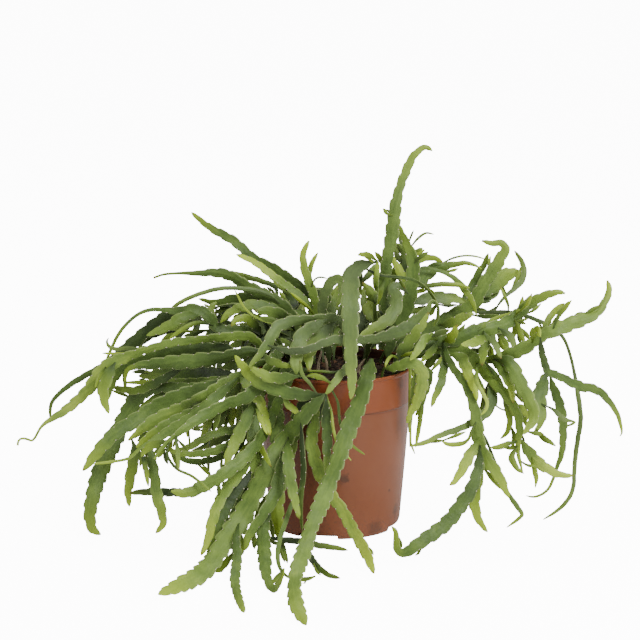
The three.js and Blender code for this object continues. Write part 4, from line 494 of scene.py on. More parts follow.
        ("b", [3, 7, 7, 5], [44, 50], [84, 139, 89, 141, 92, 147, 94, 151.5]),
        ("m", [3, 5.5, 5.5, 5.5, 4], [46, 54, 58], [82, 139, 84, 125, 83, 115, 81, 105, 77, 97, 74, 88]),
        ("m", [3, 4.5, 5, 6, 8, 8, 7, 3], [58, 70, 80, 88], [83, 139, 88, 124, 94, 114, 100, 106, 105, 95,
            108, 84, 110, 72, 111, 62, 113, 55, 118, 46, 124, 38, 129, 29, 134, 18.5]),
        ("m", [3, 6, 8, 8.5, 8.5, 8.5, 7, 5, 2], [88, 96, 104, 112, 108], [110, 60, 111, 48, 109, 38, 104,
            24, 98, 15, 92, 6, 84, -3, 76, -9, 67, -15, 58, -21, 52, -24, 47.5, -19, 47.5, -12, 46.5, -7,
            43.5, -3.5]),
        ("b", [3, 6, 7, 7, 6, 3], [82, 88, 94], [111, 56, 112, 42, 110, 30, 108, 22, 107.5, 13, 109.5, 5,
            113, -2, 117.5, -8]),
        ("b", [3, 6, 7, 6, 3], [92, 100], [109, 64, 107, 57, 103, 50, 100, 44, 96, 37, 92, 31, 88, 28]),
        ("m", [3, 3, 2, 2, 2, 2.4, 3.6, 3, 1.4], [66, 64, 62, 62], [108, 80, 112, 69, 116, 63, 120, 54, 124,
            44, 128, 34, 132, 24, 137, 16, 142, 9, 144, 5.5, 141, 2, 137, -1, 132, -4.5]),
        ("m", [1.8, 2, 2, 3.5, 3.5, 3], [74, 78], [108, 78, 105, 70, 103, 64, 99, 60.5, 93, 59.5, 87, 59.5,
            82, 62]),
        ("b", [3, 7, 7, 6, 3], [60, 66], [90, 131, 97, 126, 101, 118, 105, 108, 108, 100, 109.5, 93]),
        ("b", [3, 5, 6.5, 6, 3], [58, 64], [80, 139, 74, 142, 68, 139, 64, 132, 60, 127, 57.5, 124]),
        ("m", [3, 7, 7, 7, 4], [40, 50], [113, 147, 116, 141, 115, 134, 114, 128, 113, 120]),
        ("g", [3, 5, 5, 5, 3], [46, 54], [117, 147, 121, 140, 125, 132, 128, 125]),
        ("b", [3, 7, 7, 3], [58, 66], [114, 142, 108, 137.5, 103, 136.5, 97, 136]),
        ("m", [2, 5, 5, 3], [6, 10], [125, 148, 128, 142, 132, 135, 130, 129]),
        ("m", [3, 6, 7, 6, 3], [30, 34], [78, 139, 75, 132, 70, 127, 66, 123]),
    ]),
    "right_middle": ((44, 26), [
        ("m", [3, 6, 7, 7, 6, 4], [34, 36, 30], [49, 124, 53, 133, 58, 139, 63, 146, 68, 153, 72, 161]),
        ("y", [2, 2.5, 3], [38, 44], [49, 125, 44, 127, 40, 123, 38.5, 118.5]),
        ("b", [2, 3, 3], [44, 48], [50, 127, 57, 129, 63, 131]),
    ]),
    "right_fall": ((54, 2), [
        ("b", [3, 4, 7, 9, 9, 7, 6, 6, 5, 3, 2], [24, 40, 50, 58, 62], [64, 128, 75, 131, 88, 133, 98, 131,
            107, 124, 117, 113, 124, 105, 131, 98, 137, 89, 141, 80, 142, 70, 141, 62, 141, 52, 143, 43, 144,
            38]),
        ("b", [2, 4, 4.5, 4], [66, 72], [140, 63, 133, 60, 127, 57.5, 119.5, 57]),
        ("m", [2, 5, 5, 4, 1.6], [66, 72], [141, 58, 136, 50, 138, 44, 142, 39, 145.5, 37]),
        ("b", [3, 6, 7, 7, 6, 5, 2.4], [54, 50, 48], [142, 66, 149, 54, 156, 46, 163, 41, 170, 37, 177, 35.5,
            183.5, 35.5]),
        ("m", [2, 3, 3], [60, 58], [143, 46, 149, 43, 155, 43.5]),
        ("b", [2, 4, 4, 1.6], [58, 62], [150, 52, 153, 42, 155, 33, 154, 26]),
        ("b", [2, 5, 5, 4], [46, 42], [138, 88, 142, 89, 146, 84, 148, 78]),
        ("m", [2, 4.5, 4.5, 4, 2.5], [52, 50], [128, 101, 132, 90, 134.5, 82, 134.5, 74, 132, 68, 127,
            63.5]),
        ("m", [3, 6, 6.5, 6, 5, 4, 4, 3.5, 3.5, 2], [44, 52, 58, 64], [116, 114, 120, 106, 121, 96, 119, 88,
            113, 81, 105, 76, 95, 71, 86, 68, 78, 65, 70, 61, 62, 59, 57, 58]),
        ("b", [2, 3, 3, 2], [76, 82], [109, 122, 109, 108, 113, 100, 117, 92, 116, 86, 112, 82]),
        ("y", [1.6, 1.6, 1.6], [46, 42], [120, 93, 124, 89, 128, 86.5, 133, 85]),
    ]),
    "right_edge": ((35, 39), [
        ("b", [3, 6, 7.5, 8, 6, 3], [48, 44, 40], [48, 118, 58, 122, 66, 117, 67, 108, 65, 98, 62, 90, 58,
            83, 55.5, 76]),
        ("b", [2, 4, 3.5, 3, 2, 1.6], [36, 30, 26], [63, 121, 61, 110, 60, 98, 59, 88, 58, 78, 57.5, 68,
            58.5, 60, 61.5, 52]),
        ("b", [2, 5.5, 6, 4, 3.4, 3, 2], [34, 28, 24], [65, 119, 72, 116, 71, 108, 69, 101, 67, 93, 66, 84,
            65, 75, 63.5, 66, 62, 57]),
    ]),
}
# The far side's sprays stand side by side in sectors and follow one plan: a first stem over the rim, and
# others that leave an earlier stem a share of the way along it, each over its own crest to its reach and
# tip's height.
farSectors = [  # plan angle, foot, furthest reach
    (156, 38, 170), (140, 27, 165), (124, 37, 160), (108, 28, 150), (91, 35, 140), (71, 29, 124),
    (51, 36, 78),
]
farPlan = [  # parent and share, turn, crest, peak, reach, tip, width
    (None, 0, 72, 140, 90, 62, 8.4),
    ((0, 0.12), 4.5, 84, 165, 146, 92, 9),
    ((0, 0.18), -6, 70, 152, 112, 112, 7.4),
    ((0, 0.24), 6, 76, 147, 106, 40, 8),
    ((1, 0.6), -3, None, 0, 132, 66, 6.4),
]
farDraw = {"reach": 0.5, "tip": 40, "peak": 8, "sway": 3, "width": 0.3, "lowest": 8, "faceUp": 0.7}
farFall = ((0.62, 0.24, 0.4), (0.94, 0.64, 1), (1, 1, 0.8))  # shares of the way out, the way down and the sway
farRise = {"out": 7, "below": 6, "sway": 0.5, "endWidth": 3, "lastShare": 0.8, "tones": "mgdmb"}
leadHeight = 111.6
goldenShare = 0.61803398875
fullTurn = 2 * math.pi

tilt = math.radians(view["tilt"])
sheetMiddle = np.array(sheet["middle"], float)
sheetUp = np.array([0, math.sin(tilt), math.cos(tilt)])
towardsEye = np.array([0, -math.cos(tilt), math.sin(tilt)])
eye = sheetMiddle + towardsEye * view["distance"]


def evenDraw(index):
    return (index * goldenShare) % 1


def unit(vectors):
    return vectors / np.linalg.norm(vectors, axis=-1, keepdims=True)


def dots(first, second):
    return (first * second).sum(-1)


def sheetPoint(across, up):
    across = np.asarray(across, float)
    up = np.asarray(up, float)
    point = sheetMiddle + sheetUp * (up - sheet["upAtMiddle"])[..., None]
    point[..., 0] = across
    return point


def placed(across, up, near):
    share = (view["distance"] - np.asarray(near, float)) / view["distance"]
    return eye + (sheetPoint(across, up) - eye) * share[..., None]


def onSheet(point):
    fromMiddle = point - sheetMiddle
    near = fromMiddle @ towardsEye
    scale = view["distance"] / (view["distance"] - near)
    across = sheetMiddle[0] + fromMiddle[..., 0] * scale
    up = sheet["upAtMiddle"] + (fromMiddle @ sheetUp) * scale
    return across, up, near


def seenAt(across, up, fore):
    target = sheetPoint(across, up)
    share = (-fore - eye[1]) / (target[1] - eye[1])
    return eye + (target - eye) * share


def spread(values, share):
    return np.interp(np.clip(share, 0, 1) * (len(values) - 1), np.arange(len(values)), values)


def potRadiusAt(height):
    p = potShape
    heights = (0, p["bodyFootHeight"], p["collarFootHeight"] - 1e-6, p["collarFootHeight"], p["height"])
    radii = (p["footRadius"], p["bodyFootRadius"], p["bodyTopRadius"], p["collarFootRadius"],
             p["rimRadius"] + p["lipBulge"])
    return np.interp(height, heights, radii)


def smoothCurve(points):
    points = np.array(points, float)
    before = 2 * points[0] - points[1]
    after = 2 * points[-1] - points[-2]
    padded = np.vstack([before, points, after])
    fine = []
    steps = stemShape["curveSteps"]
    for i in range(1, len(points) - 1):  # the first span only gives the start its direction
        p0, p1, p2, p3 = padded[i:i + 4]
        d0, d1, d2 = (max(np.linalg.norm(b - a), 1e-8) ** 0.5 for a, b in ((p0, p1), (p1, p2), (p2, p3)))
        t1 = ((p1 - p0) / d0 - (p2 - p0) / (d0 + d1) + (p2 - p1) / d1) * d1
        t2 = ((p2 - p1) / d1 - (p3 - p1) / (d1 + d2) + (p3 - p2) / d2) * d1
        share = (np.arange(steps) / steps)[:, None]
        fine.append(p1 + t1 * share + (3 * (p2 - p1) - 2 * t1 - t2) * share ** 2
                    + (2 * (p1 - p2) + t1 + t2) * share ** 3)
    fine.append(points[-1:])
    return np.vstack(fine)


def evenly(points, lead, step):
    fine = smoothCurve([lead] + list(points))
    lengths = np.concatenate([[0], np.cumsum(np.linalg.norm(np.diff(fine, axis=0), axis=1))])
    steps = max(3, int(lengths[-1] / step + 0.5))
    wanted = lengths[-1] * np.arange(steps + 1) / steps
    return np.stack([np.interp(wanted, lengths, fine[:, axis]) for axis in range(3)], 1)


def layStem(points, lead, widths, outward, parent, tone):
    s = stemShape
    if widths[-2] >= s["bluntWidth"]:  # a broad stem stays broad to its end
        widths = widths[:-1] + [max(widths[-1], widths[-2] * s["bluntShare"])]
    places = evenly(points, lead, s["sampleStep"])
    radius = np.hypot(places[:, 0], places[:, 1])
    places[:, 2] = np.where(radius < s["rimInner"], np.maximum(places[:, 2], s["soilClear"]), places[:, 2])
    overRim = (radius >= s["rimInner"]) & (radius < s["rimOuter"])
    places[:, 2] = np.where(overRim, np.maximum(places[:, 2], s["rimClear"]), places[:, 2])
    last = len(places) - 1
    total = last * s["sampleStep"]
    share = np.arange(last + 1) / last
    run = share * total
    rise = np.clip(run / s["neckLength"], 0, 1)
    neck = s["neckShare"] + (1 - s["neckShare"]) * rise * rise * (3 - 2 * rise)
    tip = s["tipShare"] + (1 - s["tipShare"]) * np.sqrt(np.minimum(1, (total - run) / s["tipLength"]))
    width = np.maximum(s["leastWidth"], s["fullness"] * spread(widths, share) * np.minimum(neck, tip))
    across, up, near = onSheet(places)
    return {"across": across, "up": up, "near": near, "shift": np.zeros(last + 1), "width": width,
            "outward": outward, "parent": parent, "tone": tone}


def nearestStation(stems, across, up):
    best = None
    for index, stem in enumerate(stems):
        distance = np.hypot(stem["across"][1:] - across, stem["up"][1:] - up)
        k = int(distance.argmin())
        if best is None or distance[k] < best[0]:
            best = (distance[k], index, k + 1)
    return best[1], best[2]


def layDrawnSpray(name, foot, drawnStems, base):
    footPlace = np.array([foot[0], -foot[1], stemShape["stubTop"]], float)
    stems = []
    for tone, widths, fores, route in drawnStems:
        drawn = [(route[k], route[k + 1]) for k in range(0, len(route), 2)]
        parent = None
        start = footPlace
        startFore = foot[1]
        if stems:
            index, k = nearestStation(stems, *drawn[0])
            parent = (base + index, k)
            other = stems[index]
            start = placed(other["across"][k], other["up"][k], other["near"][k])
            startFore = -start[1]
            drawn = drawn[1:]
        firstAcross, firstUp, _ = onSheet(start)
        path = np.array([(firstAcross, firstUp)] + drawn, float)
        runs = np.concatenate([[0], np.cumsum(np.hypot(*np.diff(path, axis=0).T))])
        depths = [startFore] + list(fores)
        points = [start] + [seenAt(a, u, spread(depths, r / runs[-1])) for (a, u), r in zip(drawn, runs[1:])]
        lead = 2 * start - points[1] if parent else np.array([start[0], start[1], leadHeight])
        stem = layStem(points, lead, widths, None, parent, tone)
        stem["name"] = name
        stems.append(stem)
    return stems


def layFarSpray(sector, index, base):
    angle, footOut, most = sector
    hand = 1 if index % 2 == 0 else -1
    stems = []

    def draw(k, salt):
        return evenDraw((index + 1) * 7 + k * 5 + salt) - 0.5

    def at(degrees, radius, height):
        heading = math.radians(angle + degrees)
        return np.array([math.cos(heading) * radius, math.sin(heading) * radius, height])

    for k, (source, planTurn, planCrest, planPeak, planReach, planTip, planWidth) in enumerate(farPlan):
        turn = planTurn * hand + draw(k, 0) * farDraw["sway"] * farRise["sway"]
        sway = draw(k, 1) * farDraw["sway"]
        start = at(0, footOut, stemShape["stubTop"])
        parent = None
        if source:
            other = stems[source[0]]
            station = int(source[1] * (len(other["width"]) - 1) + 0.5)
            parent = (base + source[0], station)
            start = placed(other["across"][station], other["up"][station], other["near"][station])
        crest = planCrest or math.hypot(start[0], start[1])
        peak = planPeak + draw(k, 2) * farDraw["peak"] if planCrest else start[2]
        reach = min(most, crest + (planReach - crest) * (1 + draw(k, 3) * farDraw["reach"]))
        tip = max(farDraw["lowest"], planTip + draw(k, 4) * farDraw["tip"])
        points = [start]
        if not parent:
            points.append(at(turn, footOut + farRise["out"], peak - farRise["below"]))
        if planCrest:
            points.append(at(turn, crest, peak))
        for out, down, swayed in farFall:
            points.append(at(turn + sway * swayed, crest + (reach - crest) * out, peak + (tip - peak) * down))
        lead = 2 * start - points[1] if parent else np.array([start[0], start[1], leadHeight])
        width = planWidth * (1 + draw(k, 5) * farDraw["width"])
        outward = at(turn, 1, farDraw["faceUp"])
        widths = [farRise["endWidth"], width, width, width, width * farRise["lastShare"], farRise["endWidth"]]
        tone = farRise["tones"][(index + k) % len(farRise["tones"])]
        stem = layStem(points, lead, widths, outward / np.linalg.norm(outward), parent, tone)
        stem["name"] = f"spray_far_{index + 1}"
        stems.append(stem)
    return stems


def frameStem(stem, salt):
    places = placed(stem["across"], stem["up"], stem["near"] + stem["shift"])
    ends = np.arange(len(places))
    after = np.minimum(ends + 1, ends[-1])
    before = np.maximum(ends - 1, 0)
    along = unit(places[after] - places[before])
    wanted = unit(eye - places) if stem["outward"] is None else np.tile(stem["outward"], (len(places), 1))
    faces = wanted - along * dots(wanted, along)[:, None]
    for _ in range(stemShape["faceSmoothing"]):
        faces = faces + faces[before] + faces[after]
        faces = (faces - along * dots(faces, along)[:, None]) / 3
    faces = unit(faces)
    lean = (evenDraw(salt) - 0.5) * 2 * math.radians(stemShape["faceTurn"])
    faces = faces * math.cos(lean) + np.cross(along, faces) * math.sin(lean)
    stem.update(place=places, along=along, face=faces, aside=np.cross(along, faces))


def nearJoint(a, ka, b, kb, stems):
    step = stemShape["sampleStep"]
    clear = stemShape["jointClear"]

    def joined(child, kChild, parent, kParent):
        if child["parent"] is None or stems[child["parent"][0]] is not parent:
            return False
        return kChild * step < clear or abs(kParent - child["parent"][1]) * step < clear

    if joined(a, ka, b, kb) or joined(b, kb, a, ka):
        return True
    if not (a["parent"] and b["parent"] and a["parent"][0] == b["parent"][0]):
        return False
    return bool(abs(a["parent"][1] - b["parent"][1]) * step < clear and min(ka, kb) * step < clear)


def crossingsOf(stems, sampleStem, sampleStation, across, up, near):
    spot = stemShape["spot"]
    columns = np.floor(across / spot).astype(int)
    rows = np.floor(up / spot).astype(int)
    cells = {}
    for index, cell in enumerate(zip(columns.tolist(), rows.tolist())):
        cells.setdefault(cell, []).append(index)
    stemOf = sampleStem.tolist()
    groups = {}
    for (column, row), members in cells.items():
        around = []
        for dx in (-1, 0, 1):
            for dy in (-1, 0, 1):
                around += cells.get((column + dx, row + dy), [])
        around = np.array(around)
        for i in members:
            others = around[sampleStem[around] > stemOf[i]]
            if not len(others):
                continue
            close = np.hypot(across[others] - across[i], up[others] - up[i]) <= spot
            close &= np.abs(near[others] - near[i]) <= stemShape["reachDepth"]
            for j in others[close].tolist():
                a = stems[stemOf[i]]
                b = stems[stemOf[j]]
                ka = int(sampleStation[i])
                if a["name"] == b["name"] and nearJoint(a, ka, b, int(sampleStation[j]), stems):
                    continue
                groups.setdefault((stemOf[i], stemOf[j]), []).append((ka, i, j))
    crossings = []
    for pairs in groups.values():
        pairs.sort()
        start = 0
        for k in range(1, len(pairs) + 1):
            if k < len(pairs) and pairs[k][0] - pairs[k - 1][0] <= stemShape["runGap"]:
                continue
            run = pairs[start:k]
            lead = sum(near[i] - near[j] for _, i, j in run)
            crossings += [(i, j, 1 if lead >= 0 else -1) for _, i, j in run]
            start = k
    return np.array(crossings)


def depthLimits(across, up, near):
    # how near and how far a point may be, so that it stays above the ground and out of the pot
    s = stemShape
    target = sheetPoint(across, up)
    fall = eye[2] - target[:, 2]
    clear = s["groundGap"] + s["thickness"] / 2
    least = view["distance"] * (1 - (eye[2] - clear) / fall)
    most = np.full(len(near), np.inf)
    checked = np.nonzero((np.abs(across) <= s["besidePot"]) & (up <= sheet["upAtMiddle"]))[0]
    depths = np.arange(s["depthSearch"], -s["depthSearch"], -s["depthStep"])
    for k in checked:
        points = placed(np.full(len(depths), across[k]), np.full(len(depths), up[k]), depths)
        inside = (points[:, 2] <= potShape["height"] + s["potGap"]) & (points[:, 2] >= 0)
        inside &= np.hypot(points[:, 0], points[:, 1]) <= potRadiusAt(points[:, 2]) + s["potGap"]
        if not inside.any():
            continue
        hit = depths[inside]
        if near[k] > (hit[0] + hit[-1]) / 2:
            least[k] = max(least[k], hit[0])
        else:
            most[k] = hit[-1]
    return least, most


def liftStem(stem, stems):
    # a stem keeps to its parent's joint and is raised where it would cut the rim or the soil
    s = stemShape
    if stem["parent"]:
        other, k = stem["parent"]
        offset = stems[other]["place"][k] - stem["place"][0]
        follow = np.maximum(0, 1 - np.arange(len(stem["place"])) * s["sampleStep"] / s["followLength"])
        stem["place"] = stem["place"] + offset * follow[:, None]
    places = stem["place"]
    lacks = np.zeros(len(places))
    for part in s["acrossSamples"]:
        points = places + stem["aside"] * (part * stem["width"])[:, None]
        radius = np.hypot(points[:, 0], points[:, 1])
        overRim = (radius > s["rimInner"]) & (radius < s["rimOuter"])
        overRim &= points[:, 2] > potShape["height"] - s["rimSideDrop"]
        lacks = np.maximum(lacks, np.where(overRim, s["rimClear"] - points[:, 2], 0))
        lacks = np.maximum(lacks, np.where(radius <= s["rimInner"], s["soilClear"] - points[:, 2], 0))
    if lacks.max() > 0:
        count = np.arange(len(places))
        slopes = np.maximum(0, lacks[None, :] - s["rimRamp"] * np.abs(count[:, None] - count[None, :])).max(1)
        if not stem["parent"]:
            slopes[0] = 0
        places = places + np.outer(slopes, (0, 0, 1))
    across, up, near = onSheet(places)
    stem.update(across=across, up=up, near=near, shift=np.zeros(len(places)), place=places)


def settle(stems):
    # stems that cross are moved apart along the line of sight, the nearer one forward, until each has its gap
    s = stemShape
    for index, stem in enumerate(stems):
        frameStem(stem, index)
    stemIndex, stationIndex, points, first = [], [], [], []
    total = 0
    for index, stem in enumerate(stems):
        count = len(stem["place"])
        first.append(total)
        total += count
        for k in range(count):
            for part in s["acrossSamples"]:
                stemIndex.append(index)
                stationIndex.append(k)
                points.append(stem["place"][k] + stem["aside"][k] * part * stem["width"][k])
    stemIndex = np.array(stemIndex)
    stationIndex = np.array(stationIndex)
    across, up, near = onSheet(np.array(points))
    crossings = crossingsOf(stems, stemIndex, stationIndex, across, up, near)
    owner = np.array(first)[stemIndex] + stationIndex
    free = np.ones(total)
    need = np.zeros(total)
    overPot = np.zeros(total, bool)
    for start, stem in zip(first, stems):
        count = len(stem["place"])
        if not stem["parent"]:
            run = np.arange(count) * s["sampleStep"]
            free[start:start + count] = np.clip((run - s["stiffLength"]) / s["freeAfter"], 0, 1)
        slope = np.abs(stem["face"] @ towardsEye)
        need[start:start + count] = (s["layerGap"] / 2) / np.maximum(slope, s["leastSlope"])
        radius = np.hypot(stem["place"][:, 0], stem["place"][:, 1])
        high = stem["place"][:, 2] > potShape["height"] - s["rimDrop"]
        overPot[start:start + count] = (radius < s["rimOuter"]) & high
    least = np.full(total, -np.inf)
    most = np.full(total, np.inf)
    bounded = ~overPot[owner]
    sampleLeast, sampleMost = depthLimits(across[bounded], up[bounded], near[bounded])
    np.maximum.at(least, owner[bounded], sampleLeast - near[bounded])
    np.minimum.at(most, owner[bounded], sampleMost - near[bounded])
    shift = np.zeros(total)
    ia, ib, sign = crossings.T
    sa, sb = owner[ia], owner[ib]
    give = free[sa] + free[sb]
    apartAtRest = sign * (near[ia] - near[ib])
    room = need[sa] + need[sb]
    for turn in range(s["rounds"]):
        lack = room - apartAtRest - sign * (shift[sa] - shift[sb])
        lack = np.where(give > 0, np.maximum(lack, 0), 0)
        move = sign * lack / np.maximum(give, 1e-9)
        push = np.bincount(sa, move * free[sa] * lack, total) - np.bincount(sb, move * free[sb] * lack, total)
        hits = np.bincount(sa, lack, total) + np.bincount(sb, lack, total)
        shift += np.where(hits > 0, s["give"] * push / np.maximum(hits, 1e-12), 0)
        for start, stem in zip(first, stems):
            count = len(stem["place"])
            part = shift[start:start + count]
            for _ in range(3 if turn < s["rounds"] - s["lastRounds"] else 1):
                part[0] = shift[first[stem["parent"][0]] + stem["parent"][1]] if stem["parent"] else 0
                old = part.copy()
                beyond = np.append(old[2:], old[-1])
                part[1:] = old[1:] + s["evening"] * (old[:-1] + beyond - 2 * old[1:])
            loose = free[start:start + count] > 0.5
            part[loose] = np.minimum(part[loose], most[start:start + count][loose])
            part[loose] = np.maximum(part[loose], least[start:start + count][loose])
    for index, (start, stem) in enumerate(zip(first, stems)):
        stem["shift"] = shift[start:start + len(stem["place"])].copy()
        frameStem(stem, index)
    for stem in stems:
        liftStem(stem, stems)
    for index, stem in enumerate(stems):
        frameStem(stem, index)


